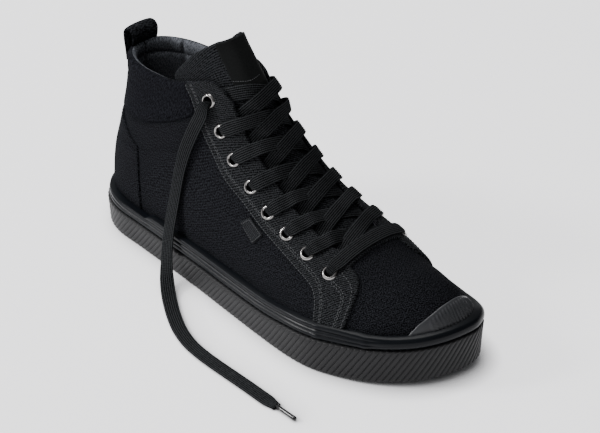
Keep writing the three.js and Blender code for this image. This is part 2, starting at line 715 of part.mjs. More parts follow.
function makeTongue() {
  const body = form(tongueOffset(0)).subtract(form(tongueOffset(tongueThickness)));
  return body.intersect(tongueZone(0));
}
add('tongue', makeTongue(), materials.twill);

function makeLabel() {
  const body = form(tongueOffset(-fit - labelThickness)).subtract(form(tongueOffset(-fit)));
  const middle = sidePrism([[0, labelLow], [far, labelLow], [far, tall], [0, tall]], -labelHalfWidth, labelHalfWidth);
  return body.intersect(tongueZone(labelDrop)).intersect(middle);
}
add('tongue_label', makeLabel(), materials.cuffCloth);

function makeTab() {
  const zone = sidePrism(edge(tabCorners), -far, 0);
  return skin(tabThickness).intersect(zone);
}
add('side_tab', makeTab(), materials.webbing);

// Strips: a flat section carried along points with the way that its face looks
function strip(stations, width, thickness) {
  const positions = [];
  const triangles = [];
  stations.forEach((station, index) => {
    const before = stations[Math.max(index - 1, 0)].point;
    const after = stations[Math.min(index + 1, stations.length - 1)].point;
    const tangent = after.clone().sub(before).normalize();
    const face = station.normal.clone().addScaledVector(tangent, -station.normal.dot(tangent)).normalize();
    const across = tangent.clone().cross(face);
    for (const [u, v] of [[-1, -1], [1, -1], [1, 1], [-1, 1]]) {
      positions.push(station.point.clone()
        .addScaledVector(across, u * width / 2).addScaledVector(face, v * thickness / 2));
    }
    if (index === 0) return;
    const base = 4 * (index - 1);
    for (let k = 0; k < 4; k += 1) {
      const next = (k + 1) % 4;
      triangles.push([base + k, base + next, base + 4 + next], [base + k, base + 4 + next, base + 4 + k]);
    }
  });
  const last = positions.length - 4;
  triangles.push([0, 2, 1], [0, 3, 2], [last, last + 1, last + 2], [last, last + 2, last + 3]);
  return solidFromMesh(positions, triangles);
}

// Heights of the lace's middle over the form
const overFacing = fit + eyestayThickness + fit + eyeletRise + laceLift + laceThickness / 2;
const laceLevels = {
  start: fit + eyestayThickness + fit + laceThickness / 2,
  under: fit + eyestayThickness + laceThickness / 2,
  over: fit + eyestayThickness + 2 * laceThickness - fit,
};

function crossing(fromSide, row, level, last) {
  const start = eyeletAt(fromSide, row);
  const end = eyeletAt(fromSide === 'outer' ? 'inner' : 'outer', row - 1);
  const sign = Math.sign(start.y);
  const from = sign * Math.max(throatHalfAt(start.point.x) - laceWidth / 2, fit);
  const to = last ? -sign * (throatHalfAt(end.point.x) - laceWidth / 2) : end.y;
  const steps = 5;
  const stations = Array.from({ length: steps + 1 }, (_, i) => {
    const part = i / steps;
    const y = THREE.MathUtils.lerp(from, to, part);
    const { point, normal } = onSection(THREE.MathUtils.lerp(start.place, end.place, part), y);
    const rise = THREE.MathUtils.smoothstep(y / from, 0, 1);
    const fall = THREE.MathUtils.smoothstep(y / to, 0, 0.7);
    const endLevel = last ? laceLevels.start : overFacing;
    const height = level + rise * (laceLevels.start - level) + fall * (endLevel - level);
    return { point: point.addScaledVector(normal, height), normal };
  });
  return strip(stations, laceWidth, laceThickness);
}

function bar() {
  const row = eyeletRows.length - 1;
  const { place, y } = eyeletAt('inner', row);
  const steps = 6;
  const stations = Array.from({ length: steps + 1 }, (_, i) => {
    const { point, normal } = onSection(place, THREE.MathUtils.lerp(-y, y, i / steps));
    return { point: point.addScaledVector(normal, overFacing), normal };
  });
  return strip(stations, laceWidth, laceThickness);
}

function makeCrossings() {
  const strands = [bar()];
  for (let row = eyeletRows.length - 1; row > 0; row -= 1) {
    strands.push(crossing('outer', row, laceLevels.over, false));
    strands.push(crossing('inner', row, laceLevels.under, row === 1));
  }
  const joined = Manifold.union(strands);
  return Manifold.compose(joined.decompose().filter((body) => body.volume() > 0));
}
add('lace_crossings', makeCrossings(), materials.webbing);

// Eyelets: a barrel through the facing under a domed flange
function makeEyelet(eyelet) {
  const seat = fit + eyestayThickness + fit;
  const [bore, rim] = [eyeletBore / 2, eyeletFlange / 2];
  const profile = [
    [bore, -upperWall], [barrelRadius, -upperWall], [barrelRadius, seat], [rim, seat],
    [bore + eyeletBarrelWall, seat + eyeletRise], [bore, -upperWall],
  ].map(([radius, height]) => new THREE.Vector2(radius, height));
  return solidFromGeometry(placed(new THREE.LatheGeometry(profile, 8), eyelet));
}
for (const eyelet of eyelets) add(eyelet.name, makeEyelet(eyelet), materials.nickel);

// Pull loop: webbing from the back of the cuff over the collar's edge and down inside
function makeLoop() {
  const backX = 0.073 * soleLength;
  const collarTop = columnAlong(collarRows, 'up', 0.08) * collarHeight;
  const bow = loopWidth / 2 * loopWidth / 2 / (2 * loopBend);
  const outside = backX - cuffThickness - 2 * fit - loopThickness / 2 - bow / 2;
  const inside = backX + upperWall + 2 * fit + loopThickness / 2 + heelBow;
  const middle = (outside + inside) / 2;
  const radius = loopCrown;
  const crown = collarTop + loopHeight - radius;
  const profile = [[outside, collarTop - loopTail]];
  profile.push([outside - loopLean / 2, collarTop + 1]);
  for (let i = 0; i <= 6; i += 1) {
    const angle = Math.PI * (1 - i / 6);
    profile.push([middle - loopLean + radius * Math.cos(angle), crown + radius * Math.sin(angle)]);
  }
  profile.push([inside - loopLean / 4, collarTop + 1], [inside, collarTop - loopTail]);
  const columns = 4;
  const positions = [];
  const triangles = [];
  const rows = profile.length;
  const normals = profile.map((_, i) => {
    const [a, b] = [profile[Math.max(i - 1, 0)], profile[Math.min(i + 1, rows - 1)]];
    return new THREE.Vector2(-(b[1] - a[1]), b[0] - a[0]).normalize();
  });
  for (const sign of [1, -1]) {
    profile.forEach(([x, z], i) => {
      for (let j = 0; j <= columns; j += 1) {
        const y = loopWidth * (j / columns - 0.5);
        const half = sign * loopThickness / 2;
        const lift = y * y / (2 * loopBend);
        positions.push(new THREE.Vector3(x + lift + normals[i].x * half, y, z + normals[i].y * half));
      }
    });
  }
  const at = (layerIndex, i, j) => layerIndex * rows * (columns + 1) + i * (columns + 1) + j;
  const quad = (a, b, c, d) => triangles.push([a, b, c], [a, c, d]);
  for (let i = 0; i < rows - 1; i += 1) {
    for (let j = 0; j < columns; j += 1) {
      quad(at(0, i, j), at(0, i, j + 1), at(0, i + 1, j + 1), at(0, i + 1, j));
      quad(at(1, i, j), at(1, i + 1, j), at(1, i + 1, j + 1), at(1, i, j + 1));
    }
    quad(at(0, i, 0), at(0, i + 1, 0), at(1, i + 1, 0), at(1, i, 0));
    quad(at(0, i, columns), at(1, i, columns), at(1, i + 1, columns), at(0, i + 1, columns));
  }
  for (let j = 0; j < columns; j += 1) {
    quad(at(0, 0, j), at(1, 0, j), at(1, 0, j + 1), at(0, 0, j + 1));
    quad(at(0, rows - 1, j), at(0, rows - 1, j + 1), at(1, rows - 1, j + 1), at(1, rows - 1, j));
  }
  return solidFromMesh(positions, triangles);
}
add('pull_loop', makeLoop(), materials.webbing);

group.updateMatrixWorld(true);
const box = new THREE.Box3().setFromObject(group);

// Free lace end and its aglet, which the origin leaves out
const laceEnd = laceEndRoute.map(({ at, faces }) => ({
  point: new THREE.Vector3(...at),
  normal: new THREE.Vector3(...faces).normalize(),
}));
add('lace_end', strip(laceEnd, laceWidth, laceThickness), materials.webbing);

function makeAglet() {
  const [before, end] = [laceEnd.at(-2).point, laceEnd.at(-1).point];
  const direction = end.clone().sub(before).normalize();
  const rod = new THREE.CylinderGeometry(agletWidth / 2, agletWidth / 2, agletLength, 12);
  const centre = end.clone().addScaledVector(direction, fit + agletLength / 2);
  centre.z = agletWidth / 2 + 0.1;
  return solidFromGeometry(placed(rod, { point: centre, normal: direction }));
}
add('aglet', makeAglet(), materials.plastic);

group.position.set(-(box.min.x + box.max.x) / 2, -(box.min.y + box.max.y) / 2, -box.min.z);

export default group;
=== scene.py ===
import math

import bpy
import numpy as np
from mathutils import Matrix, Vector
from mathutils.bvhtree import BVHTree


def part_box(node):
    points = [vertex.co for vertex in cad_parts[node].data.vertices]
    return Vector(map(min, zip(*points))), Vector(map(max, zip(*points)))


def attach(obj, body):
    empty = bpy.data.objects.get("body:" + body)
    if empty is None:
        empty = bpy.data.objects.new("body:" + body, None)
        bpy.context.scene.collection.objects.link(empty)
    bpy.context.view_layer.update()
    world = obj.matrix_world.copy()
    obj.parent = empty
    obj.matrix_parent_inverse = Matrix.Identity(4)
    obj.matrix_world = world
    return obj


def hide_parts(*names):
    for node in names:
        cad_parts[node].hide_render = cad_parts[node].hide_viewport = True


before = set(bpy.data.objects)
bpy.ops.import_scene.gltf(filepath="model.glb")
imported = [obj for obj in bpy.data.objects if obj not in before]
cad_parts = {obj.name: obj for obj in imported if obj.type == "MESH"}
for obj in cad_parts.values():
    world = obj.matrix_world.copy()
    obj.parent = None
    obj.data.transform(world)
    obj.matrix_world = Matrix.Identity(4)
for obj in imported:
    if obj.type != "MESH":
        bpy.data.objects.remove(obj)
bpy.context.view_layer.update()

# The shoe is laid out in millimetres from the back of the heel, as the solids are,
# and moved into the row frame when a mesh is made.
ROUTE_TIP = np.array([248.891, -93.795])
aglet_low, aglet_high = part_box("aglet")
tip_centre = (aglet_low + aglet_high) / 2 * 1000
SHIFT = np.array([tip_centre.x - ROUTE_TIP[0], tip_centre.y - ROUTE_TIP[1], 0.0])


def to_frame(points):
    return (np.asarray(points, float) + SHIFT) / 1000


# Camera
azimuth = math.radians(44.596)
elevation = math.radians(33.603)
CAMERA_DISTANCE = 1.2
back = Vector((
    math.sin(azimuth) * math.cos(elevation),
    -math.cos(azimuth) * math.cos(elevation),
    math.sin(elevation),
))
target = Vector(to_frame([138.09, 29.94, 30.0]))
camera_data = bpy.data.cameras.new("camera")
camera_data.lens = 109.94
camera_data.sensor_width = 36.0
camera = bpy.data.objects.new("camera", camera_data)
bpy.context.scene.collection.objects.link(camera)
camera.location = target + back * CAMERA_DISTANCE
camera.rotation_mode = "QUATERNION"
camera.rotation_quaternion = (-back).to_track_quat("-Z", "Y")
bpy.context.scene.camera = camera

# Sizes, in millimetres
SOLE_LENGTH = 300.0
BALL_WIDTH = 107.0
COLLAR_HEIGHT = 131.0
TOE_SPRING = 5.9
SPRING_START = 0.7 * SOLE_LENGTH
UPPER_INSET = 5.0
SIDEWALL_HEIGHT = 19.0
THROAT_HALF = 19.5
THROAT_TOP_HALF = 16.0
THROAT_END = 0.762 * SOLE_LENGTH
THROAT_ROUND = THROAT_END - THROAT_HALF
THROAT_TOP = 0.34 * SOLE_LENGTH
FIT = 0.3
EYESTAY = 1.5
CUFF = 1.3
COUNTER = 1.1
WALL = 2.4

SECTIONS = np.array([
    # lowX, lowZ, topX, topZ, centre, outer, inner, widest, lowRound, outerRound, innerRound
    [0.979, 0.046, 0.982, 0.275, 0.112, 0.136, 0.140, 0.50, 2.6, 2.2, 2.2],
    [0.967, 0.015, 0.972, 0.313, 0.098, 0.210, 0.206, 0.48, 3.0, 2.2, 2.2],
    [0.947, 0.000, 0.953, 0.365, 0.075, 0.276, 0.262, 0.45, 3.4, 2.1, 2.1],
    [0.913, 0.000, 0.923, 0.412, 0.051, 0.346, 0.307, 0.42, 3.8, 2.1, 2.1],
    [0.867, 0.000, 0.880, 0.443, 0.028, 0.421, 0.353, 0.40, 4.0, 2.1, 2.1],
    [0.807, 0.000, 0.827, 0.458, 0.014, 0.481, 0.400, 0.38, 4.0, 2.1, 2.2],
    [0.733, 0.000, 0.767, 0.492, 0.005, 0.514, 0.430, 0.36, 4.0, 2.1, 2.5],
    [0.653, 0.000, 0.707, 0.531, 0.000, 0.507, 0.444, 0.34, 4.0, 2.1, 2.6],
    [0.560, 0.000, 0.653, 0.584, 0.000, 0.481, 0.425, 0.32, 4.0, 2.1, 2.6],
    [0.453, 0.000, 0.603, 0.656, 0.000, 0.444, 0.393, 0.31, 3.8, 2.1, 2.6],
    [0.333, 0.000, 0.557, 0.744, 0.000, 0.411, 0.364, 0.31, 3.4, 2.2, 2.7],
    [0.207, 0.000, 0.517, 0.836, 0.000, 0.383, 0.346, 0.32, 3.0, 2.3, 2.7],
    [0.093, 0.000, 0.488, 0.916, 0.000, 0.350, 0.327, 0.34, 2.7, 2.4, 2.7],
    [0.015, 0.046, 0.470, 0.989, 0.000, 0.336, 0.313, 0.36, 2.4, 2.5, 2.7],
    [0.010, 0.214, 0.450, 1.053, 0.000, 0.327, 0.304, 0.38, 2.3, 2.5, 2.6],
    [0.015, 0.366, 0.433, 1.107, 0.000, 0.315, 0.294, 0.40, 2.2, 2.5, 2.6],
    [0.032, 0.504, 0.420, 1.149, 0.000, 0.304, 0.285, 0.42, 2.2, 2.5, 2.5],
    [0.050, 0.641, 0.405, 1.191, 0.000, 0.296, 0.277, 0.43, 2.2, 2.5, 2.5],
    [0.067, 0.794, 0.390, 1.229, 0.000, 0.292, 0.271, 0.44, 2.2, 2.5, 2.5],
    [0.073, 0.931, 0.377, 1.267, 0.000, 0.290, 0.268, 0.45, 2.2, 2.5, 2.5],
    [0.073, 1.069, 0.360, 1.313, 0.000, 0.290, 0.266, 0.46, 2.2, 2.5, 2.5],
    [0.070, 1.191, 0.347, 1.359, 0.000, 0.290, 0.266, 0.47, 2.2, 2.5, 2.5],
])
LAST = len(SECTIONS) - 1

OUTLINE = np.array([
    [0.000, 0.000], [0.007, -0.121], [0.027, -0.224], [0.060, -0.304], [0.110, -0.355],
    [0.183, -0.372], [0.273, -0.393], [0.383, -0.422], [0.500, -0.461], [0.607, -0.495],
    [0.693, -0.514], [0.760, -0.505], [0.823, -0.453], [0.877, -0.383], [0.923, -0.290],
    [0.963, -0.173], [0.990, -0.037], [1.003, 0.112], [0.998, 0.206], [0.980, 0.285],
    [0.947, 0.336], [0.900, 0.369], [0.833, 0.407], [0.760, 0.435], [0.690, 0.444],
    [0.617, 0.430], [0.500, 0.388], [0.383, 0.350], [0.267, 0.341], [0.167, 0.338],
    [0.107, 0.320], [0.057, 0.285], [0.023, 0.210], [0.005, 0.112],
])
SIDEWALL = np.array([
    [0.00, 1.05], [0.15, 0.96], [0.50, 1.00], [0.62, 1.05], [0.70, 1.18],
    [0.80, 1.26], [0.88, 1.27], [0.95, 1.27], [1.00, 1.32],
])
COLLAR = np.array([
    [-15.0, 129.0], [24.0, 129.0], [60.0, 129.7], [81.0, 131.0], [93.0, 134.4],
    [105.0, 139.1], [112.5, 139.9], [120.0, 136.9], [126.0, 131.0],
])
EYESTAY_REAR = np.array([
    [90.0, 157.0], [91.2, 141.0], [93.5, 131.9], [97.7, 126.3], [102.5, 117.5],
    [110.0, 104.3], [118.8, 93.9], [127.4, 86.4], [136.0, 81.0], [148.4, 75.2],
    [158.7, 69.8], [171.4, 64.0], [187.3, 59.0], [201.2, 54.9], [210.6, 52.1],
    [218.0, 49.4], [222.8, 45.2], [225.5, 38.5], [226.6, 30.0], [226.9, 16.0],
])
EYESTAY_FRONT = np.array([
    [230.6, 66.0], [231.2, 60.8], [235.1, 59.4], [239.4, 57.4], [242.7, 54.9],
    [245.1, 51.0], [246.6, 45.6], [246.8, 38.2], [246.3, 30.0], [246.0, 16.0],
])
CUFF_SEAM = np.array([
    [-15.0, 88.2], [20.0, 88.3], [40.3, 89.9], [48.3, 90.9], [57.4, 92.8], [68.6, 97.5],
    [83.1, 104.1], [94.7, 110.7], [101.5, 116.4], [112.0, 126.0],
])
COUNTER_EDGE = np.array([
    [-15.0, 86.4], [10.0, 86.2], [22.0, 84.6], [30.0, 80.9], [37.3, 77.1], [44.3, 73.2],
    [48.4, 69.6], [49.7, 64.5], [49.7, 54.2], [50.3, 45.2], [50.7, 36.0], [51.1, 27.4],
    [51.3, 14.0],
])
TONGUE_EDGE = np.array([
    [109.5, 164.6], [104.0, 160.2], [94.0, 152.0], [84.0, 141.0], [79.5, 134.0],
    [79.8, 124.0], [84.0, 114.0], [99.0, 100.9], [126.0, 79.9], [162.0, 61.6],
    [201.0, 47.2], [233.0, 43.2],
])
TAB = np.array([[150.9, 62.7], [157.2, 68.4], [170.7, 62.1], [165.0, 54.5]])
EYELETS = np.array([
    [0.372, 0.208], [0.408, 0.213], [0.451, 0.229], [0.507, 0.245],
    [0.562, 0.262], [0.620, 0.273], [0.681, 0.282], [0.745, 0.289],
]) * [SOLE_LENGTH, BALL_WIDTH]
LACE_END = np.array([
    # x, y, z, then the direction that the braid's flat side faces
    [111.3, -20.4, 125.9, 0.0, -0.3, -1.0],
    [112.0, -24.0, 127.2, 0.1, -0.5, -0.8],
    [112.3, -27.3, 127.4, 0.2, -1.0, 0.3],
    [111.0, -28.6, 123.0, 0.2, -1.0, 0.1],
    [108.6, -28.8, 117.0, 0.1, -1.0, 0.1],
    [104.6, -29.4, 109.0, 0.1, -1.0, 0.1],
    [100.6, -30.5, 99.5, 0.1, -1.0, 0.1],
    [96.6, -32.0, 88.0, 0.1, -1.0, 0.1],
    [93.2, -33.6, 73.5, 0.0, -1.0, 0.1],
    [91.2, -35.9, 57.5, 0.0, -1.0, 0.2],
    [90.9, -39.0, 45.0, 0.0, -1.0, 0.3],
    [91.8, -42.8, 34.8, 0.0, -1.0, 0.4],
    [93.6, -46.6, 25.6, 0.0, -1.0, 0.5],
    [96.4, -50.4, 17.4, 0.0, -0.9, 0.6],
    [100.4, -54.6, 10.2, 0.1, -0.7, 0.8],
    [105.6, -58.9, 4.6, 0.2, -0.4, 0.9],
    [112.0, -63.6, 1.6, 0.0, -0.1, 1.0],
    [119.5, -68.8, 1.0, 0.0, 0.0, 1.0],
    [130.8, -76.0, 1.0, 0.0, 0.0, 1.0],
    [144.5, -83.2, 1.0, 0.0, 0.0, 1.0],
    [158.5, -88.0, 1.0, 0.0, 0.0, 1.0],
    [172.0, -90.2, 1.0, 0.0, 0.0, 1.0],
    [185.5, -91.1, 1.0, 0.0, 0.0, 1.0],
    [200.0, -91.6, 1.0, 0.0, 0.0, 1.0],
    [214.5, -92.1, 1.0, 0.0, 0.0, 1.0],
    [228.0, -92.8, 1.0, 0.0, 0.0, 1.0],
    [240.6, -93.4, 1.0, 0.0, 0.0, 1.0],
])


# Curves and fields
def unit(vectors):
    """Vectors of length one, along the last axis."""
    vectors = np.asarray(vectors, float)
    return vectors / np.linalg.norm(vectors, axis=-1, keepdims=True)


def running_total(steps):
    return np.concatenate([[0], np.cumsum(steps)])


def lengths_along(points):
    """The length of a line up to each of its points."""
    return running_total(np.linalg.norm(np.diff(points[:, :3], axis=0), axis=1))


def quarter_round(part):
    """The height of a rounded edge: 0 at the edge, and 1 where part is 1 or more."""
    return np.sqrt(np.maximum(1 - (1 - np.clip(part, 0, 1)) ** 2, 0))


def line_length(points):
    return float(lengths_along(points)[-1])


def smoothstep(value, low, high):
    part = np.clip((value - low) / (high - low), 0, 1)
    return part * part * (3 - 2 * part)


def mix(start, end, part):
    return start + (end - start) * part


def columns_at(rows, place):
    """Every column of a table at places between its rows, smoothly."""
    place = np.asarray(place, float)
    last = len(rows) - 1
    index = np.clip(np.floor(place).astype(int), 0, last - 1)
    part = (place - index)[..., None]
    before = rows[np.clip(index - 1, 0, last)]
    start = rows[index]
    end = rows[index + 1]
    after = rows[np.clip(index + 2, 0, last)]
    start_slope = np.where((index == 0)[..., None], end - start, (end - before) / 2)
    end_slope = np.where((index == last - 1)[..., None], end - start, (after - start) / 2)
    square, cube = part * part, part ** 3
    return (
        (2 * cube - 3 * square + 1) * start + (cube - 2 * square + part) * start_slope
        + (3 * square - 2 * cube) * end + (cube - square) * end_slope
    )


def column_along(rows, along):
    """The second column of a table by its first."""
    along = np.asarray(along, float)
    index = np.clip(np.searchsorted(rows[:, 0], along, side="right") - 1, 0, len(rows) - 2)
    span = rows[index + 1, 0] - rows[index, 0]
    part = np.clip((along - rows[index, 0]) / span, 0, 1)
    return columns_at(rows, index + part)[..., 1]


FINE_STEPS = 40


def smooth_line(points, count):
    """Points at even spacing on a smooth line through the given ones."""
    points = np.asarray(points, float)
    dense = columns_at(points, np.linspace(0, len(points) - 1, FINE_STEPS * len(points)))
    length = lengths_along(dense)
    wanted = np.linspace(0, length[-1], count)
    return np.stack([np.interp(wanted, length, column) for column in dense.T], axis=1)


def distance_inside(points, polygon):
    """Distance to a closed polygon in the plane, positive inside it."""
    start = polygon
    span = np.roll(polygon, -1, axis=0) - start
    square = np.maximum((span ** 2).sum(1), 1e-12)
    best = np.full(len(points), 1e9)
    inside = np.zeros(len(points), bool)
    for (sx, sy), (dx, dy), size in zip(start, span, square):
        px, py = points[:, 0] - sx, points[:, 1] - sy
        part = np.clip((px * dx + py * dy) / size, 0, 1)
        best = np.minimum(best, (px - part * dx) ** 2 + (py - part * dy) ** 2)
        if abs(dy) > 1e-12:
            crosses = (py >= 0) != (py >= dy)
            inside ^= crosses & (px < dx * py / dy)
    return np.where(inside, 1, -1) * np.sqrt(best)


def spring(x):
    reach = np.maximum(0, (np.asarray(x, float) - SPRING_START) / (SOLE_LENGTH - SPRING_START))
    return TOE_SPRING * reach * reach


def sidewall_top(x):
    return SIDEWALL_HEIGHT * column_along(SIDEWALL, np.asarray(x) / SOLE_LENGTH) + spring(x)


# The upper's form
def section_point(place, turn):
    low_x, low_z, top_x, top_z, centre, outer, inner, widest, low_round, outer_round, inner_round = (
        np.moveaxis(columns_at(SECTIONS, place), -1, 0)
    )
    cosine, sine = np.cos(2 * np.pi * turn), np.sin(2 * np.pi * turn)
    fullness = np.where(cosine > 0, low_round, np.where(sine > 0, outer_round, inner_round))
    rise = np.abs(cosine) ** (2 / fullness)
    between = np.where(cosine > 0, widest * (1 - rise), widest + (1 - widest) * rise)
    reach = np.where(sine > 0, outer, inner) * BALL_WIDTH - UPPER_INSET
    across = -np.sign(sine) * reach * np.abs(sine) ** (2 / fullness)
    return np.stack([
        SOLE_LENGTH * mix(low_x, top_x, between),
        BALL_WIDTH * centre + across,
        COLLAR_HEIGHT * mix(low_z, top_z, between),
    ], axis=-1)


def section_normal(place, turn):
    place, turn = np.broadcast_arrays(np.asarray(place, float), np.asarray(turn, float))
    near, close = 0.05, 0.004
    before, after = np.maximum(place - near, 0), np.minimum(place + near, LAST)
    along = section_point(after, turn) - section_point(before, turn)
    around = section_point(place, turn + close) - section_point(place, turn - close)
    return unit(np.cross(around, along))


ROWS, HALF_COLUMNS = 250, 150
COLUMNS = 2 * HALF_COLUMNS


def even_places():
    """Section places spaced so that rows lie about evenly over the form."""
    places = np.linspace(0, LAST, 1200)
    steps = np.zeros(len(places) - 1)
    for turn in (0.25, 0.4, 0.5, 0.6, 0.75):
        points = section_point(places, np.full_like(places, turn))
        steps += np.linalg.norm(np.diff(points, axis=0), axis=1)
    length = running_total(steps)
    return np.interp(np.linspace(0, length[-1], ROWS), length, places)


def even_turns(place):
    """Turns round one section that lie evenly along its two halves."""
    turns = []
    for low, high in ((0.0, 0.5), (0.5, 1.0)):
        steps = np.linspace(low, high, 1500)
        points = section_point(np.full_like(steps, place), steps)
        length = lengths_along(points)
        turns.append(np.interp(np.linspace(0, length[-1], HALF_COLUMNS + 1), length, steps)[:-1])
    return np.concatenate(turns)


grid_places = even_places()
grid_turns = np.array([even_turns(place) for place in grid_places])
grid_points = section_point(grid_places[:, None] + 0 * grid_turns, grid_turns)


def grid_normals(points):
    along = np.gradient(points, axis=0)
    around = (np.roll(points, -1, axis=1) - np.roll(points, 1, axis=1)) / 2
    return unit(np.cross(around, along))


# Soft folds in the cloth: the side, a middle point and a direction in side view,
# the fold's half length and half width, and its height
FOLDS = [
    (-1, (70.0, 84.0), (0.9, 0.42), 30.0, 5.0, -0.55),
    (-1, (66.0, 104.0), (1.0, 0.25), 26.0, 5.0, 0.35),
    (-1, (100.0, 62.0), (0.75, -0.65), 26.0, 7.0, 0.45),
    (-1, (128.0, 52.0), (0.85, -0.5), 34.0, 7.0, -0.5),
    (-1, (205.0, 40.0), (0.6, 0.8), 14.0, 6.0, -0.35),
    (-1, (255.0, 47.0), (0.3, 0.95), 16.0, 5.0, -0.4),
    (1, (70.0, 84.0), (0.9, 0.4), 30.0, 6.0, -0.5),
    (1, (120.0, 55.0), (0.85, -0.5), 34.0, 8.0, -0.5),
    (1, (250.0, 46.0), (0.3, 0.95), 16.0, 5.0, -0.4),
]

LOWER_SEAM = np.array([
    [18.0, 69.2], [38.0, 69.4], [49.7, 70.5], [55.7, 71.7],
    [63.7, 75.1], [76.0, 79.7], [87.2, 85.0], [94.0, 88.5],
])
SEAM_DEPTH, SEAM_REACH = 0.8, 1.5
SEAM_START, SEAM_END = 30.0, 88.0


def seam_depth(points):
    """Grooves where the quarter is stitched down below the cuff, with the cloth puffed beside them."""
    total = np.zeros(points.shape[:-1])
    fade = (
        smoothstep(points[..., 0], SEAM_START, SEAM_START + 8)
        * (1 - smoothstep(points[..., 0], SEAM_END, SEAM_END + 8))
    )
    for line in (LOWER_SEAM, CUFF_SEAM[2:]):
        level = column_along(line, points[..., 0])
        slope = (column_along(line, points[..., 0] + 1) - column_along(line, points[..., 0] - 1)) / 2
        away = (points[..., 2] - level) / np.sqrt(1 + slope ** 2)
        total -= SEAM_DEPTH * np.exp(-(away / SEAM_REACH) ** 2) * fade
        total += 0.5 * SEAM_DEPTH * np.exp(-((np.abs(away) - 5.0) / 3.5) ** 2) * fade
    return total


def fold_height(points):
    total = seam_depth(points)
    for side, (x, z), (dx, dz), half_length, half_width, height in FOLDS:
        size = math.hypot(dx, dz)
        along = ((points[..., 0] - x) * dx + (points[..., 2] - z) * dz) / size
        across = ((points[..., 2] - z) * dx - (points[..., 0] - x) * dz) / size
        here = np.exp(-(along / half_length) ** 2 - (across / half_width) ** 2)
        total += height * here * smoothstep(side * points[..., 1], 0, 8)
    return total


base_normals = grid_normals(grid_points)
grid_points = grid_points + base_normals * fold_height(grid_points)[..., None]
grid_normal = grid_normals(grid_points)
steps_along = np.linalg.norm(np.diff(grid_points, axis=0), axis=2)
grid_u = np.concatenate([np.zeros((1, grid_points.shape[1])), np.cumsum(steps_along, axis=0)])
steps_around = np.linalg.norm(np.diff(grid_points, axis=1), axis=2)
grid_v = np.concatenate([np.zeros((ROWS, 1)), np.cumsum(steps_around, axis=1)], axis=1)
grid_v = grid_v - grid_v[:, HALF_COLUMNS][:, None]


def grid_data():
    """Points, normals and cloth coordinates of the whole form, with its quads."""
    data = np.concatenate([
        grid_points.reshape(-1, 3), grid_normal.reshape(-1, 3),
        grid_u.reshape(-1, 1), grid_v.reshape(-1, 1),
    ], axis=1)
    row, column = np.meshgrid(np.arange(ROWS - 1), np.arange(1, COLUMNS - 1), indexing="ij")
    first = (row * COLUMNS + column).ravel()
    quads = np.stack([first, first + 1, first + 1 + COLUMNS, first + COLUMNS], axis=1)
    a, b, c = (data[quads[:, k], :3] for k in range(3))
    flat = np.cross(b - a, c - b)
    facing = (flat * data[quads[:, 0], 3:6]).sum(1)
    if facing.mean() < 0:
        quads = quads[:, ::-1]
    return data, quads


def compact(data, quads, tris):
    used = np.unique(np.concatenate([quads.ravel(), tris.ravel()]))
    place = np.full(len(data), -1)
    place[used] = np.arange(len(used))
    return data[used], place[quads], place[tris]


def clip(data, quads, tris, values, both=False):
    """The mesh cut along the zero line of values, without the part below it unless both are kept."""
    inside = values > 0
    count = inside[quads].sum(1)
    cut = quads[(count > 0) & (count < 4)]
    quads = quads[(count == 4) | (both & (count == 0))]
    tris = np.concatenate([tris, cut[:, [0, 1, 2]], cut[:, [0, 2, 3]]])
    count = inside[tris].sum(1)
    whole, one, two = tris[(count == 3) | (both & (count == 0))], tris[count == 1], tris[count == 2]

    def turned(faces, odd):
        first = np.argmax(odd[faces], axis=1)
        order = (first[:, None] + np.arange(3)) % 3
        return np.take_along_axis(faces, order, axis=1)

    one, two = turned(one, inside), turned(two, ~inside)
    edges = np.concatenate([one[:, [0, 1]], one[:, [0, 2]], two[:, [0, 1]], two[:, [0, 2]]])
    ordered = np.sort(edges, axis=1)
    unique, index = np.unique(ordered, axis=0, return_inverse=True)
    index = index.ravel()
    a, b = unique[:, 0], unique[:, 1]
    part = (values[a] / (values[a] - values[b]))[:, None]
    added = data[a] + part * (data[b] - data[a])
    index = index + len(data)
    n1, n2 = len(one), len(two)
    e1, e2 = index[:n1], index[n1:2 * n1]
    e3, e4 = index[2 * n1:2 * n1 + n2], index[2 * n1 + n2:]
    kept = [
        whole,
        np.stack([one[:, 0], e1, e2], axis=1),
        np.stack([e3, two[:, 1], two[:, 2]], axis=1),
        np.stack([e3, two[:, 2], e4], axis=1),
    ]
    if both:
        kept += [
            np.stack([e1, one[:, 1], one[:, 2]], axis=1),
            np.stack([e1, one[:, 2], e2], axis=1),
            np.stack([two[:, 0], e3, e4], axis=1),
        ]
    return compact(np.concatenate([data, added]), quads, np.concatenate(kept))


def border_edges(quads, tris):
    edges = np.concatenate(
        [quads[:, [k, (k + 1) % 4]] for k in range(4)] + [tris[:, [k, (k + 1) % 3]] for k in range(3)]
    )
    keys = np.sort(edges, axis=1)
    _, index, count = np.unique(keys, axis=0, return_inverse=True, return_counts=True)
    return edges[count[index.ravel()] == 1]


def collar_z(x):
    return column_along(COLLAR, x)


def throat_half(x):
    part = np.clip((x - THROAT_TOP) / (THROAT_ROUND - THROAT_TOP), 0, 1)
    return mix(THROAT_TOP_HALF, THROAT_HALF, part)


# What a field says where it doesn't count, far inside the piece
WELL_INSIDE = 50.0
COLLAR_END = 126.0


def below_collar(p):
    """Distance below the collar's edge, in side view."""
    slope = (collar_z(p[:, 0] + 1) - collar_z(p[:, 0] - 1)) / 2
    below = (collar_z(p[:, 0]) - p[:, 2]) / np.sqrt(1 + slope ** 2)
    return np.where(p[:, 0] < COLLAR_END, below, WELL_INSIDE)


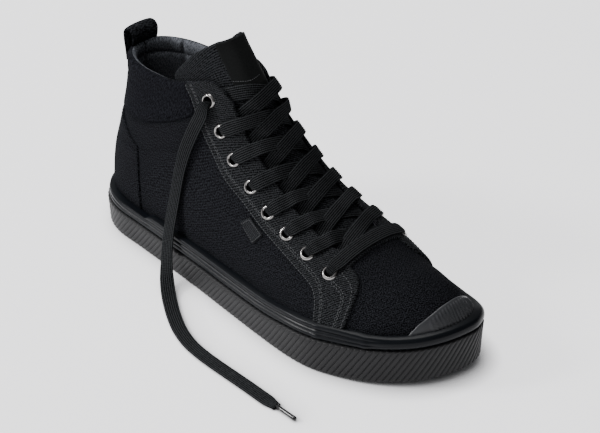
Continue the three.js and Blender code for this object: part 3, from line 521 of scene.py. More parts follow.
def off_throat(p):
    """Distance from the throat's edge, in top view."""
    straight = np.abs(p[:, 1]) - throat_half(p[:, 0])
    rounded = np.hypot(p[:, 0] - THROAT_ROUND, p[:, 1]) - THROAT_HALF
    value = np.where(p[:, 0] > THROAT_ROUND, rounded, straight)
    return np.where((p[:, 0] < 60) | (p[:, 2] < 30), WELL_INSIDE, value)


def above_floor(height):
    return lambda p: p[:, 2] - height - spring(p[:, 0])


def side_polygon(points, sign=0):
    polygon = np.asarray(points, float)

    def field(p):
        value = distance_inside(p[:, [0, 2]], polygon)
        if sign:
            value = np.minimum(value, sign * p[:, 1] - 0.05)
        return value
    return field


rear_line = smooth_line(EYESTAY_REAR, 140)
front_line = smooth_line(EYESTAY_FRONT, 90)
cuff_line = smooth_line(CUFF_SEAM, 90)
counter_line = smooth_line(COUNTER_EDGE, 110)
tongue_line = smooth_line(TONGUE_EDGE, 120)
FAR = 600.0
eyestay_polygon = np.concatenate([rear_line, front_line[::-1], [[230.6, FAR], [90.0, FAR]]])
cuff_ahead = np.concatenate([rear_line - [FIT, 0], [[FAR, 16.0], [FAR, FAR], [89.7, FAR]]])
counter_polygon = np.concatenate([counter_line, [[51.3, -50.0], [-FAR, -50.0], [-FAR, 86.4]]])
tongue_top = [[150.0, 164.6 + 0.4 * (150.0 - 109.5)]]
tongue_polygon = np.concatenate([tongue_line, [[236.0, 43.0], [236.0, FAR], [150.0, FAR]], tongue_top])


def tongue_puff(p):
    """How full the padding is, from 0 at the throat's edge to 1 in the middle."""
    x = p[:, 0]
    half = np.where(
        x > THROAT_ROUND,
        np.sqrt(np.maximum(THROAT_HALF ** 2 - (x - THROAT_ROUND) ** 2, 0)),
        throat_half(x),
    )
    return smoothstep(half - np.abs(p[:, 1]), 3, 13)


# Meshes
def make_object(name, mesh, material):
    """An object from points in millimetres, faces and, if given, coordinates for the cloth."""
    points, faces, *coordinates = mesh
    data = bpy.data.meshes.new(name)
    data.from_pydata(to_frame(points).tolist(), [], faces)
    if coordinates:
        layer = data.uv_layers.new(name="cloth")
        loop_vertex = np.zeros(len(data.loops), np.int32)
        data.loops.foreach_get("vertex_index", loop_vertex)
        layer.data.foreach_set("uv", np.asarray(coordinates[0], np.float32)[loop_vertex].ravel())
    data.materials.append(material)
    data.polygons.foreach_set("use_smooth", [True] * len(data.polygons))
    data.update()
    made = bpy.data.objects.new(name, data)
    bpy.context.scene.collection.objects.link(made)
    return made


def finish_piece(made, nodes=()):
    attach(made, "root")
    if nodes:
        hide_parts(*nodes)
    return made


def add_piece(name, mesh, material, nodes=()):
    return finish_piece(make_object(name, mesh, material), nodes)


def ring_quads(rings, size):
    """The faces between closed rings of points, one ring after another."""
    row, column = np.meshgrid(np.arange(rings - 1), np.arange(size), indexing="ij")
    first, following = row * size + column, row * size + (column + 1) % size
    return np.stack([first, following, following + size, first + size], axis=-1).reshape(-1, 4)


EDGE_LEVELS = (0.15, 0.45, 0.9, 1.5)


def skin_parts(fields, levels=EDGE_LEVELS):
    """The form clipped by fields and cut in rows beside its edges, with the distance to them."""
    data, quads = all_data, all_quads
    tris = np.zeros((0, 3), int)
    for field in fields:
        data, quads, tris = clip(data, quads, tris, field(data[:, :3]))
    for level in levels:
        edge = np.min([field(data[:, :3]) for field in fields], axis=0)
        data, quads, tris = clip(data, quads, tris, edge - level, both=True)
    data[:, 3:6] = unit(data[:, 3:6])
    edge = np.min([np.maximum(field(data[:, :3]), 0) for field in fields], axis=0)
    return data, quads, tris, edge


def skin_mesh(parts, top, low):
    """Outer and inner skins at two offsets, joined at the edges."""
    data, quads, tris, edge = parts
    points, normals = data[:, :3], data[:, 3:6]
    outer = points + normals * np.asarray(top(points, edge))[:, None]
    inner = points + normals * np.asarray(low(points, edge))[:, None]
    count = len(points)
    rim = border_edges(quads, tris)
    walls = np.stack([rim[:, 1], rim[:, 0], rim[:, 0] + count, rim[:, 1] + count], axis=1)
    faces = (
        quads.tolist() + tris.tolist() + (quads[:, ::-1] + count).tolist()
        + (tris[:, ::-1] + count).tolist() + walls.tolist()
    )
    return np.concatenate([outer, inner]), faces, np.concatenate([data[:, 6:8], data[:, 6:8]])


def flat(value):
    return lambda p, edge: np.full(len(p), float(value))


def rolled(level, low, reach):
    """An offset that falls from level to low within reach of the edge, as a rolled edge does."""
    def offset(p, edge):
        return low + (level - low) * quarter_round(edge / reach)
    return offset


RIBBON_COORDINATES = 10.0


def ribbon(points, normals, widths, thickness, ribs=7, detail=5, ripple=0.42):
    """A flat braid with lengthwise ribs along a line of points."""
    points, normals = np.asarray(points, float), np.asarray(normals, float)
    tangent = unit(np.gradient(points, axis=0))
    face = unit(normals - tangent * (normals * tangent).sum(1, keepdims=True))
    across = np.cross(tangent, face)
    share = np.linspace(-1, 1, ribs * detail + 1)
    bulge = np.sqrt(np.maximum(1 - np.abs(share) ** 6, 0))
    height = bulge * (1 - ripple * np.cos(ribs * np.pi * (share + 1)))
    share = np.concatenate([share, share[::-1][1:-1]])
    height = np.concatenate([height, -height[::-1][1:-1]])
    widths = np.broadcast_to(widths, len(points))
    thickness = np.broadcast_to(thickness, len(points))
    rings = (
        points[:, None]
        + across[:, None] * (share[None, :, None] * widths[:, None, None] / 2)
        + face[:, None] * (height[None, :, None] * thickness[:, None, None] / 2)
    )
    size = len(share)
    uv = np.stack([
        np.repeat(lengths_along(points), size),
        np.tile(share * RIBBON_COORDINATES / 2, len(points)),
    ], axis=1)
    faces = ring_quads(len(points), size)[:, ::-1].tolist()
    faces.append(list(range(size)))
    faces.append(list(range(len(points) * size - 1, (len(points) - 1) * size - 1, -1)))
    return rings.reshape(-1, 3), faces, uv


def joined(pieces):
    """Several meshes as one."""
    points, faces, uvs, total = [], [], [], 0
    for piece_points, piece_faces, piece_uv in pieces:
        points.append(piece_points)
        uvs.append(piece_uv)
        faces.extend([[v + total for v in face] for face in piece_faces])
        total += len(piece_points)
    return np.concatenate(points), faces, np.concatenate(uvs)


# Materials
def new_material(name):
    material = bpy.data.materials.new(name)
    material.use_nodes = True
    nodes, links = material.node_tree.nodes, material.node_tree.links
    return material, nodes, links, nodes["Principled BSDF"]


def add_node(nodes, kind, **inputs):
    """A node with some inputs set. An underscore in a name stands for a space."""
    node = nodes.new(kind)
    for name, value in inputs.items():
        node.inputs[name.replace("_", " ")].default_value = value
    return node


CLOTH_RELIEF, RUBBER_RELIEF = 0.0006, 0.0004


def cloth_material(name, dark, light, weave_kind, pitch, depth, grain, speckle, weight, roughness):
    """Woven cloth: bands of thread in the cloth's own coordinates, in millimetres, with a grain."""
    material, nodes, links, shader = new_material(name)
    coords = nodes.new("ShaderNodeUVMap")
    coords.uv_map = "cloth"
    parts = nodes.new("ShaderNodeSeparateXYZ")
    links.new(coords.outputs[0], parts.inputs[0])

    def math_node(operation, first, second=None):
        node = nodes.new("ShaderNodeMath")
        node.operation = operation
        for socket, value in ((node.inputs[0], first), (node.inputs[1], second)):
            if value is None:
                continue
            if isinstance(value, (int, float)):
                socket.default_value = value
            else:
                links.new(value, socket)
        return node.outputs[0]

    rate = 2 * math.pi / pitch
    along = math_node("MULTIPLY", parts.outputs[0], rate)
    across = math_node("MULTIPLY", parts.outputs[1], rate)
    if weave_kind == "twill":
        diagonal = math_node("ADD", along, across)
        weave = math_node("SINE", diagonal)
    elif weave_kind == "rows":
        fine = math_node("SINE", math_node("MULTIPLY", along, 1.3))
        weave = math_node("ADD", math_node("COSINE", across), math_node("MULTIPLY", fine, 0.4))
    else:
        weave = math_node("MULTIPLY", math_node("SINE", along), math_node("SINE", across))
    noise = add_node(nodes, "ShaderNodeTexNoise", Scale=1 / grain, Detail=2, Roughness=0.7)
    links.new(coords.outputs[0], noise.inputs["Vector"])
    spread = math_node("MULTIPLY", math_node("SUBTRACT", noise.outputs["Fac"], 0.5), speckle)
    height = math_node("ADD", math_node("MULTIPLY", weave, weight), spread)
    bump = add_node(nodes, "ShaderNodeBump", Strength=depth, Distance=CLOTH_RELIEF)
    links.new(height, bump.inputs["Height"])
    links.new(bump.outputs[0], shader.inputs["Normal"])
    tone = add_node(nodes, "ShaderNodeMapRange", From_Min=-1.0, From_Max=1.0)
    links.new(height, tone.inputs["Value"])
    colours = nodes.new("ShaderNodeMix")
    colours.data_type = "RGBA"
    colours.inputs["A"].default_value = (*dark, 1)
    colours.inputs["B"].default_value = (*light, 1)
    links.new(tone.outputs[0], colours.inputs["Factor"])
    links.new(colours.outputs["Result"], shader.inputs["Base Color"])
    shader.inputs["Roughness"].default_value = roughness
    shader.inputs["Specular IOR Level"].default_value = 0.2
    shader.inputs["IOR"].default_value = 1.1
    return material


def plain_material(name, colour, roughness, metallic=0.0, specular=0.5, grain=0.0):
    """One even colour, with a fine grain in its relief where one is given."""
    material, nodes, links, shader = new_material(name)
    shader.inputs["Base Color"].default_value = (*colour, 1)
    shader.inputs["Roughness"].default_value = roughness
    shader.inputs["Metallic"].default_value = metallic
    shader.inputs["Specular IOR Level"].default_value = specular
    if grain:
        coords = nodes.new("ShaderNodeTexCoord")
        noise = add_node(nodes, "ShaderNodeTexNoise", Scale=900.0, Detail=3)
        links.new(coords.outputs["Object"], noise.inputs["Vector"])
        bump = add_node(nodes, "ShaderNodeBump", Strength=grain, Distance=RUBBER_RELIEF)
        links.new(noise.outputs["Fac"], bump.inputs["Height"])
        links.new(bump.outputs[0], shader.inputs["Normal"])
    return material


def grey(value, blue=1.0):
    return (value * 0.95, value, value * blue)


CLOTHS = [
    # name, dark grey and its blue, light grey and its blue, weave, pitch, relief,
    # the grain's size and contrast, the weave's share, roughness
    ("canvas", 0.0008, 1.25, 0.025, 1.18, "plain", 1.5, 0.7, 0.85, 10.5, 0.8, 0.9),
    ("twill", 0.0015, 1.1, 0.041, 1.08, "twill", 1.5, 0.7, 0.85, 9.0, 0.8, 0.9),
    ("tongue_twill", 0.001, 1.1, 0.034, 1.1, "twill", 2.0, 0.7, 1.25, 7.0, 0.7, 0.9),
    ("cuff_cloth", 0.001, 1.35, 0.0125, 1.25, "plain", 2.0, 0.45, 1.7, 9.0, 0.5, 0.9),
    # The lining's tones are set lighter than its own cloth: painted light that brightens the shaded
    # inside of the collar.
    ("lining", 0.014, 1.2, 0.125, 1.12, "plain", 1.6, 0.3, 1.5, 6.0, 0.5, 0.9),
    ("label_cloth", 0.004, 1.0, 0.013, 1.0, "plain", 0.8, 0.1, 1.0, 2.0, 0.5, 0.7),
    ("webbing", 0.0008, 1.0, 0.028, 1.15, "plain", 1.8, 0.8, 1.1, 8.0, 0.5, 0.9),
    ("tab_cloth", 0.004, 1.0, 0.032, 1.1, "rows", 1.2, 0.5, 0.8, 4.0, 0.6, 0.9),
    # The lace's light tone lies on the crests of its ribs: partly the braid's own rows, partly a painted
    # highlight on the crests.
    ("lace", 0.0006, 1.0, 0.040, 1.06, "rows", RIBBON_COORDINATES / 7, 0.7, 0.8, 3.0, 0.85, 0.9),
]
cloths = {
    name: cloth_material(name, grey(dark, dark_blue), grey(light, light_blue), *weave)
    for name, dark, dark_blue, light, light_blue, *weave in CLOTHS
}
rubber = plain_material("rubber", (0.0125, 0.0125, 0.0132), 0.5, specular=0.16, grain=0.1)
band_rubber = plain_material("band_rubber", (0.0026, 0.0033, 0.0046), 0.34, specular=0.11, grain=0.05)
bumper_rubber = plain_material("bumper_rubber", (0.024, 0.025, 0.028), 0.42, specular=0.5, grain=0.05)
thread = plain_material("thread", (0.066, 0.068, 0.071), 0.75, specular=0.2)
dark_thread = plain_material("dark_thread", (0.005, 0.0055, 0.0065), 0.9, specular=0.1)
nickel = plain_material("nickel", (0.25, 0.242, 0.235), 0.2, metallic=1.0)
plastic = plain_material("plastic", (0.006, 0.006, 0.0065), 0.2, specular=0.35)

# The free lace end comes first
LACE_WIDTH = 9.5
end_line = smooth_line(LACE_END, 214)
end_points, end_faces = end_line[:, :3], end_line[:, 3:6]
end_index = np.arange(len(end_points))
end_width = (
    LACE_WIDTH - 4.8 * (1 - smoothstep(end_index, 3, 11))
    - 3.2 * smoothstep(end_index, len(end_points) - 8, len(end_points) - 1)
)
lace_end = add_piece(
    "lace_free_end", ribbon(end_points, end_faces, end_width, 1.55), cloths["lace"], ["lace_end"],
)


def lathe(profile, segments, origin, axis):
    """A turned solid round an axis from an origin: profile rows are radius and height."""
    axis = unit(axis)
    helper = np.array([1.0, 0, 0]) if abs(axis[0]) < 0.8 else np.array([0, 1.0, 0])
    first = unit(np.cross(axis, helper))
    second = np.cross(axis, first)
    angle = np.linspace(0, 2 * np.pi, segments, endpoint=False)
    ring = np.cos(angle)[:, None] * first + np.sin(angle)[:, None] * second
    points = np.concatenate([origin + axis * height + ring * radius for radius, height in profile])
    return points, ring_quads(len(profile), segments).tolist(), np.zeros((len(points), 2))


end_direction = unit((end_points[-1] - end_points[-4]) * [1, 1, 0])
aglet_start = np.array([*(end_points[-1] + end_direction * 0.1)[:2], 1.62])
AGLET_PROFILE = [
    (0.01, 0.0), (1.1, 0.0), (1.35, 0.5), (1.3, 4.0), (1.3, 11.0),
    (1.45, 14.8), (1.3, 15.8), (0.9, 16.2), (0.01, 16.3),
]
aglet = add_piece(
    "aglet_tip", lathe(AGLET_PROFILE, 24, aglet_start, end_direction), plastic,
    ["aglet"],
)
cord_path = to_frame(end_points)
line_length(cord_path)

# Sole
def closed_outline(count):
    """Evenly spaced points on the sole's outline, the direction inward at each, and its length."""
    ring = np.concatenate([OUTLINE[-2:], OUTLINE, OUTLINE[:3]]) * [SOLE_LENGTH, BALL_WIDTH]
    dense = columns_at(ring, np.linspace(2, 2 + len(OUTLINE), 4001))
    length = lengths_along(dense)
    wanted = np.linspace(0, length[-1], count, endpoint=False)
    points = np.stack([np.interp(wanted, length, dense[:, k]) for k in range(2)], axis=1)
    tangent = unit(np.roll(points, -1, axis=0) - np.roll(points, 1, axis=0))
    normal = np.stack([-tangent[:, 1], tangent[:, 0]], axis=1)
    return points, normal, length[-1]


def sweep_outline(count, levels):
    """Rings round the sole. A level gives an inset, a height from x and a shift along the outline."""
    points, inward, total = closed_outline(count)
    rings = []
    for inset, height, shift in levels:
        place = np.mod(np.arange(count) + shift * count / total, count)
        low = np.floor(place).astype(int) % count
        high = (low + 1) % count
        part = (place - np.floor(place))[:, None]
        base = mix(points[low], points[high], part)
        turn = unit(mix(inward[low], inward[high], part))
        ring = base + turn * inset(points)[:, None]
        rings.append(np.column_stack([ring, height(base[:, 0])]))
    return rings


def rings_mesh(rings, filled=False):
    """A mesh of closed rings, with the first one filled in if wanted."""
    count = len(rings[0])
    faces = ring_quads(len(rings), count).tolist()
    if filled:
        for j in range(1, count // 2):
            quad = [j, j + 1, (count - j - 1) % count, count - j]
            faces.append(list(dict.fromkeys(quad))[::-1])
        faces.append([count - 1, 1, 0])
    return np.concatenate(rings), faces


RIB_PITCH = 4.0
RIB_COUNT = 2 * round(closed_outline(2000)[2] / (2 * RIB_PITCH))
RIB_SHAPE = np.array([0.0, 0.0, 0.03, 0.08, 0.2, 1.0, 0.7, 0.06])
RIB_LEAN = 15.0
SOLE_LEVELS = [
    # inset, the ribs' share, share of the height and lift above it, share of the ribs' lean
    (2.20, 0.2, 0.00, 0.00, 0.00),
    (1.25, 0.9, 0.00, 0.25, 0.00),
    (0.85, 1.0, 0.00, 0.90, 0.03),
    (0.65, 1.0, 0.25, 0.00, 0.25),
    (0.45, 1.0, 0.50, 0.00, 0.50),
    (0.20, 1.0, 0.75, 0.00, 0.75),
    (0.00, 1.0, 1.00, -1.50, 0.94),
    (0.15, 0.5, 1.00, -0.90, 0.97),
    (0.80, 0.0, 1.00, -0.50, 0.98),
    (2.20, 0.0, 1.00, -0.40, 0.98),
    (7.00, 0.0, 1.00, -0.40, 0.98),
]


def sole_level(inset, ribs, share, lift, lean):
    return (
        lambda points: inset + ribs * np.tile(RIB_SHAPE, RIB_COUNT),
        lambda x: mix(spring(x), sidewall_top(x), share) + lift,
        RIB_LEAN * lean,
    )


sole_rings = sweep_outline(RIB_COUNT * len(RIB_SHAPE), [sole_level(*row) for row in SOLE_LEVELS])
add_piece("sole_unit", rings_mesh(sole_rings, filled=True), rubber, ["outsole"])


# The band's section: inset and rise along the sides, then both at the toe, and the rise at the heel
BAND = np.array([
    [7.00, 0.50, 7.00, 0.50, 0.50],
    [2.90, 0.50, 2.60, 0.50, 0.50],
    [2.00, 0.65, 1.50, 0.65, 0.65],
    [1.30, 1.10, 0.75, 1.10, 1.10],
    [1.10, 1.90, 0.30, 1.78, 1.80],
    [1.15, 2.90, 0.05, 2.45, 2.60],
    [1.40, 3.45, 0.00, 2.97, 3.15],
    [2.10, 3.65, 0.00, 3.43, 3.35],
    [2.20, 3.85, 0.00, 3.65, 3.55],
    [1.55, 4.00, 0.02, 3.88, 3.70],
    [1.35, 4.35, 0.05, 4.25, 4.00],
    [1.40, 5.60, 0.20, 4.93, 5.10],
    [1.70, 6.15, 0.30, 5.45, 5.80],
    [2.40, 6.40, 0.49, 5.82, 6.20],
    [2.40, 6.70, 0.66, 6.12, 6.40],
    [1.95, 6.95, 0.86, 6.43, 6.60],
    [1.90, 8.60, 1.19, 6.80, 6.70],
    [2.10, 9.45, 1.65, 7.25, 6.90],
    [2.90, 10.00, 2.24, 7.59, 7.00],
    [7.00, 10.05, 7.00, 7.66, 7.05],
])
# Places along the outer side where the band's outer strips swell, with height and half width
BAND_BUMPS = [(232.0, 0.5, 2.4), (262.0, 0.6, 2.6)]
TOE_START, TOE_FULL = 0.80, 0.93
HEEL_STEP_START, HEEL_STEP_END = 0.2, 0.225


def band_level(row):
    side, side_rise, toe, toe_rise, heel_rise = row

    def inset(points):
        bump = sum(
            high * np.exp(-((points[:, 0] - x) / wide) ** 2) * (points[:, 1] < 0)
            for x, high, wide in BAND_BUMPS
        )
        at_toe = smoothstep(points[:, 0] / SOLE_LENGTH, TOE_START, TOE_FULL)
        return mix(side, toe, at_toe) - bump * smoothstep(-side, -2.6, -1.6)

    def height(x):
        share = x / SOLE_LENGTH
        rise = mix(heel_rise, side_rise, smoothstep(share, HEEL_STEP_START, HEEL_STEP_END))
        return sidewall_top(x) + mix(rise, toe_rise, smoothstep(share, TOE_START, TOE_FULL))
    return inset, height, 0.0


foxing_rings = sweep_outline(560, [band_level(row) for row in BAND])
add_piece("foxing", rings_mesh(foxing_rings), band_rubber, ["foxing_band"])


# Eyelet places
HALVINGS = 34
EYELET_HOLE = 2.75


def on_section(place, y):
    """Points and normals of the form's upper half, at places and distances across."""
    place, y = np.broadcast_arrays(np.asarray(place, float), np.asarray(y, float))
    low = np.where(y < 0, 0.25, 0.75)
    high = np.full(y.shape, 0.5)
    for _ in range(HALVINGS):
        middle = (low + high) / 2
        wide = np.abs(section_point(place, middle)[..., 1]) > np.abs(y)
        low, high = np.where(wide, middle, low), np.where(wide, high, middle)
    turn = (low + high) / 2
    return section_point(place, turn), section_normal(place, turn)


def section_through(x, y):
    """The place along the form whose section passes through a point in top view."""
    low, high = 0.0, float(LAST)
    for _ in range(HALVINGS):
        middle = (low + high) / 2
        if on_section(middle, y)[0][0] > x:
            low = middle
        else:
            high = middle
    return (low + high) / 2


eyelets = {}
for side, sign in (("outer", -1), ("inner", 1)):
    for row, (x, across) in enumerate(EYELETS):
        y = sign * across
        place = section_through(x, y)
        point, normal = on_section(place, y)
        eyelets[side, row] = {"place": place, "y": y, "point": point, "normal": normal}


def off_eyelets(p):
    """Distance from the nearest eyelet's hole."""
    middles = [eyelet["point"] for eyelet in eyelets.values()]
    return np.min([np.linalg.norm(p - middle, axis=1) for middle in middles], axis=0) - EYELET_HOLE


# Upper and overlays
all_data, all_quads = grid_data()


def upper_low(p, edge):
    """The upper's inside, which thins out towards the edges."""
    return 1.2 * (1 - quarter_round(edge / 2.0)) - WALL


upper_parts = skin_parts([below_collar, off_throat, above_floor(13.0), off_eyelets])
upper_mesh = skin_mesh(upper_parts, rolled(0.0, -1.2, 1.5), upper_low)
upper = make_object("upper_shell", upper_mesh, cloths["canvas"])
# The inside faces take the lining, whose light tones are painted light.
upper.data.materials.append(cloths["lining"])
outer_faces = len(upper_parts[1]) + len(upper_parts[2])
inner_index = [0] * outer_faces + [1] * (len(upper_mesh[1]) - outer_faces)
upper.data.polygons.foreach_set("material_index", inner_index)
finish_piece(upper, ["upper"])

surfaces = {"upper": BVHTree.FromPolygons(upper_mesh[0].tolist(), upper_mesh[1])}


def overlay(name, fields, top, low, material, nodes=(), levels=EDGE_LEVELS):
    """A layer on the form: the fields bound it, top and low are its two surfaces."""
    mesh = skin_mesh(skin_parts(fields, levels), top, low)
    add_piece(name, mesh, material, nodes)
    surfaces[name] = BVHTree.FromPolygons(mesh[0].tolist(), mesh[1])


for side, sign in (("outer", -1), ("inner", 1)):
    overlay(
        f"facing_{side}",
        [side_polygon(eyestay_polygon, sign), below_collar, off_throat, above_floor(20.0), off_eyelets],
        rolled(FIT + EYESTAY, 0.35, 0.9), flat(-0.1), cloths["twill"], [f"eyestay_{side}"],
    )
beyond_rear = side_polygon(cuff_ahead)
above_cuff_line = np.concatenate([cuff_line, [[112.0, FAR], [-15.0, FAR]]])


CUFF_ROLL, CREASE_BELOW = 3.4, 13.5


def cuff_top(p, edge):
    """The cuff, rolled over at the collar, sunk at its seam and creased below the collar."""
    collar_edge = np.maximum(below_collar(p), 0)
    level = mix(-1.8, FIT + CUFF, quarter_round(collar_edge / CUFF_ROLL))
    seam = 1 - np.clip((edge + (collar_edge < edge + 0.01) * 9) / 1.6, 0, 1)
    crease = np.exp(-((collar_edge - CREASE_BELOW) / 1.5) ** 2) * (1 - smoothstep(p[:, 0], 84, 92))
    return level - 1.0 * seam ** 2 - 0.55 * crease


overlay(
    "cuff",
    [side_polygon(above_cuff_line), lambda p: -beyond_rear(p), below_collar],
    cuff_top, flat(-1.0), cloths["cuff_cloth"], ["ankle_cuff"],
    levels=(*EDGE_LEVELS, 2.4, CUFF_ROLL),
)


LINING_LOW, LINING_FRONT = 84.0, 96.0
LINING_SEAM = 42.0


def lining_low(p, edge):
    """The padded roll inside the collar, its seam and the softer panel below it."""
    depth = np.maximum(below_collar(p), 0)
    roll = np.sqrt(np.maximum(1 - ((np.clip(depth, 0, 10) - 5.0) / 5.0) ** 2, 0))
    panel = smoothstep(depth, 9.6, 12) * (1 - 0.5 * smoothstep(depth, 26, 44))
    away = 1 - smoothstep(p[:, 0], 66, 84)
    upright = 1 - 0.7 * np.exp(-((p[:, 0] - LINING_SEAM) / 1.3) ** 2) * (p[:, 1] > 0)
    return -1.9 - 0.5 * smoothstep(depth, 0, 2) - (2.3 * roll + 2.2 * panel) * away * upright


def lining_top(p, edge):
    return -1.1 - 0.6 * (1 - np.clip(np.maximum(below_collar(p), 0) / 2.0, 0, 1)) ** 2


# The collar lining's light tones are painted light for the shaded inside of the collar.
overlay(
    "collar_lining", [below_collar, lambda p: p[:, 2] - LINING_LOW, lambda p: LINING_FRONT - p[:, 0]],
    lining_top, lining_low, cloths["lining"], levels=(0.2, 0.6, 1.2, 2.2, 3.4, 9.0, 9.9, 10.8),
)
overlay(
    "counter", [side_polygon(counter_polygon), above_floor(20.0)],
    rolled(FIT + COUNTER, 0.2, 0.8), flat(-0.1), cloths["canvas"], ["heel_counter"],
)
overlay(
    "tab", [side_polygon(TAB, -1)],
    rolled(FIT + 1.0, 0.3, 0.5), flat(-0.1), cloths["tab_cloth"], ["side_tab"],
)


BUMPER_EDGE = np.array([
    # across, along
    [-60.0, 262.0], [-30.0, 274.5], [-21.4, 278.7], [-14.9, 281.3], [-9.2, 283.1], [-3.3, 284.2],
    [7.8, 284.9], [20.6, 284.0], [30.0, 281.5], [40.0, 277.0], [80.0, 260.0],
])
RIDGE_PITCH = 2.25


def bumper_top(p, edge):
    """The toe patch, with ridges that run fore and aft, inside a plain border."""
    ridges = (0.5 + 0.5 * np.cos(2 * np.pi * p[:, 1] / RIDGE_PITCH)) ** 2
    inside = smoothstep(p[:, 1], -11, -8) * (1 - smoothstep(p[:, 1], 24, 27))
    level = 0.65 + 1.05 * ridges * inside * smoothstep(edge, 1.0, 2.4)
    return mix(0.1, level, quarter_round(edge / 0.9))


overlay(
    "bumper", [lambda p: p[:, 0] - column_along(BUMPER_EDGE, p[:, 1]), above_floor(22.0)],
    bumper_top, flat(-0.1), bumper_rubber, ["toe_bumper"],
)


TONGUE_GAP, TONGUE_HALF, TONGUE_PADDING = 0.5, 2.0, 1.5


def tongue_face(p):
    """The level of the tongue's front, away from its edges."""
    return TONGUE_PADDING * tongue_puff(p) - WALL - TONGUE_GAP


def tongue_skin(direction):
    """The tongue's front or back. The two meet halfway at the edges."""
    return lambda p, edge: tongue_face(p) + TONGUE_HALF * (direction * quarter_round(edge / 2.2) - 1)


overlay(
    "tongue_body", [side_polygon(tongue_polygon)], tongue_skin(1), tongue_skin(-1),
    cloths["tongue_twill"], ["tongue"],
)
LABEL_HALF_WIDTH, LABEL_LOW = 14.6, 137.0
label_edge = rolled(0.85, 0.15, 0.8)
overlay(
    "label", [
        side_polygon(tongue_polygon - [0, 1.2]),
        lambda p: LABEL_HALF_WIDTH - np.abs(p[:, 1]),
        lambda p: p[:, 2] - LABEL_LOW,
    ],
    lambda p, edge: tongue_face(p) + label_edge(p, edge), lambda p, edge: tongue_face(p) - 0.3,
    cloths["label_cloth"], ["tongue_label"],
)


# Eyelets and laces
FACING_TOP = FIT + EYESTAY
RING_PROFILE = [
    # radius, height above the facing
    (2.35, -4.4), (2.5, -1.5), (2.62, -0.2), (2.8, 0.35), (3.05, 0.8), (3.4, 1.08),
    (3.75, 1.12), (4.1, 0.95), (4.4, 0.62), (4.7, 0.22), (4.9, -0.05), (4.8, -0.2),
    (4.3, -0.2), (3.2, -0.2), (2.75, -1.5), (2.6, -4.4), (2.35, -4.4),
]
for (side, row), eyelet in eyelets.items():
    profile = [(radius, height + FACING_TOP) for radius, height in RING_PROFILE]
    ring = lathe(profile, 40, eyelet["point"], eyelet["normal"])
    add_piece(f"ring_{side}_{row + 1}", ring, nickel, [f"eyelet_{side}_{row + 1}"])

# How far each strand turns about its own line beyond the crossing, in degrees
TWISTS = {
    "outer": [0, -9, 12, -6, 14, 7, -12, 10],
    "inner": [0, 8, -11, 13, -7, 11, 9, -13],
}
LACE_THICKNESS = 1.5
FRONT_ROW = 7
# How high the lace's middle lies: at rest on the facing, over a ring's rim, and over its hole
LACE_REST, OVER_RIM, OVER_HOLE = FACING_TOP + 0.85, FACING_TOP + 1.85, FACING_TOP + 0.9
DIVE = [
    # height above the form, distance outward, and how far the flat side has turned
    (0.6, -0.3, 0.55),
    (-1.0, -0.2, 0.95),
    (-3.0, -0.2, 1.0),
]


def tuck(height, across, edge):
    """Heights of a lace that goes down beside the throat's edge and in under the facing."""
    height = mix(height, -1.6, smoothstep(across, 8, edge - 1))
    return mix(height, -3.2, smoothstep(across, edge - 1, edge + 4))


def over_ring(height, reach):
    """Heights of a lace that climbs over a ring's rim, at distances from the ring's middle."""
    height = mix(height, OVER_RIM, 1 - smoothstep(reach, 4.2, 8.5))
    return mix(height, OVER_HOLE, 1 - smoothstep(reach, 0.4, 3.4))


def lace_rows(points, normals, width, reach):
    """Rows of point, normal, width and thickness. The lace is bunched up near a hole."""
    pinch = 1 - smoothstep(reach, 1.0, 5.5)
    return np.column_stack([points, normals, width - 3.2 * pinch, LACE_THICKNESS + 0.6 * pinch])


def dive(eyelet, widths, thickness):
    """The rows of a lace that goes down through an eyelet."""
    away = np.array([0, np.sign(eyelet["y"]), 0])
    away = unit(away - eyelet["normal"] * (away @ eyelet["normal"]))
    rows = []
    for (height, outward, turn), width in zip(DIVE, widths):
        point = eyelet["point"] + eyelet["normal"] * height + away * outward
        rows.append([*point, *mix(eyelet["normal"], away, turn), width, thickness])
    return rows


def lace_ribbon(rows, count):
    line = smooth_line(rows, count)
    return ribbon(line[:, :3], line[:, 3:6], line[:, 6], line[:, 7])


def strand(from_side, row, level, hidden_end=False):
    """A crossing from under one facing to the other side's next eyelet, or in under that facing."""
    start = eyelets[from_side, row]
    end = eyelets["inner" if from_side == "outer" else "outer", row - 1]
    sign = np.sign(start["y"])
    edge, far_edge = throat_half(start["point"][0]), throat_half(end["point"][0])
    first = sign * (edge + 5)
    last = -sign * (far_edge + 5) if hidden_end else end["y"] + sign * 0.9
    y = mix(first, last, np.linspace(0, 1, 46))
    part = np.clip((y - start["y"]) / (end["y"] - start["y"]), 0, 1)
    points, normals = on_section(mix(start["place"], end["place"], part), y)
    near_side, far_side = sign * y, -sign * y
    height = tuck(np.full(len(y), level), near_side, edge)
    if hidden_end:
        height = tuck(height, far_side, far_edge)
        turned = np.zeros(len(y))
    else:
        height = mix(height, LACE_REST, smoothstep(far_side, 6, far_edge - 1))
        height = over_ring(height, np.abs(y - end["y"]))
        turned = smoothstep(far_side, 2, 9) * (1 - smoothstep(far_side, 15, 20))
    twist = math.radians(TWISTS[from_side][row]) * turned
    height = height + np.abs(np.sin(twist)) * LACE_WIDTH / 2
    points = points + normals * height[:, None]
    along = unit(np.gradient(points, axis=0))
    normals = normals * np.cos(twist)[:, None] + np.cross(along, normals) * np.sin(twist)[:, None]
    if hidden_end:
        return lace_ribbon(lace_rows(points, normals, LACE_WIDTH, np.full(len(y), FAR)), 80)
    reach = np.linalg.norm(points - end["point"] - end["normal"] * FACING_TOP, axis=1)
    rows = lace_rows(points, normals, LACE_WIDTH - 0.5 * turned, reach)
    return lace_ribbon(np.concatenate([rows, dive(end, (5.0, 4.3, 4.3), 2.2)]), 80)


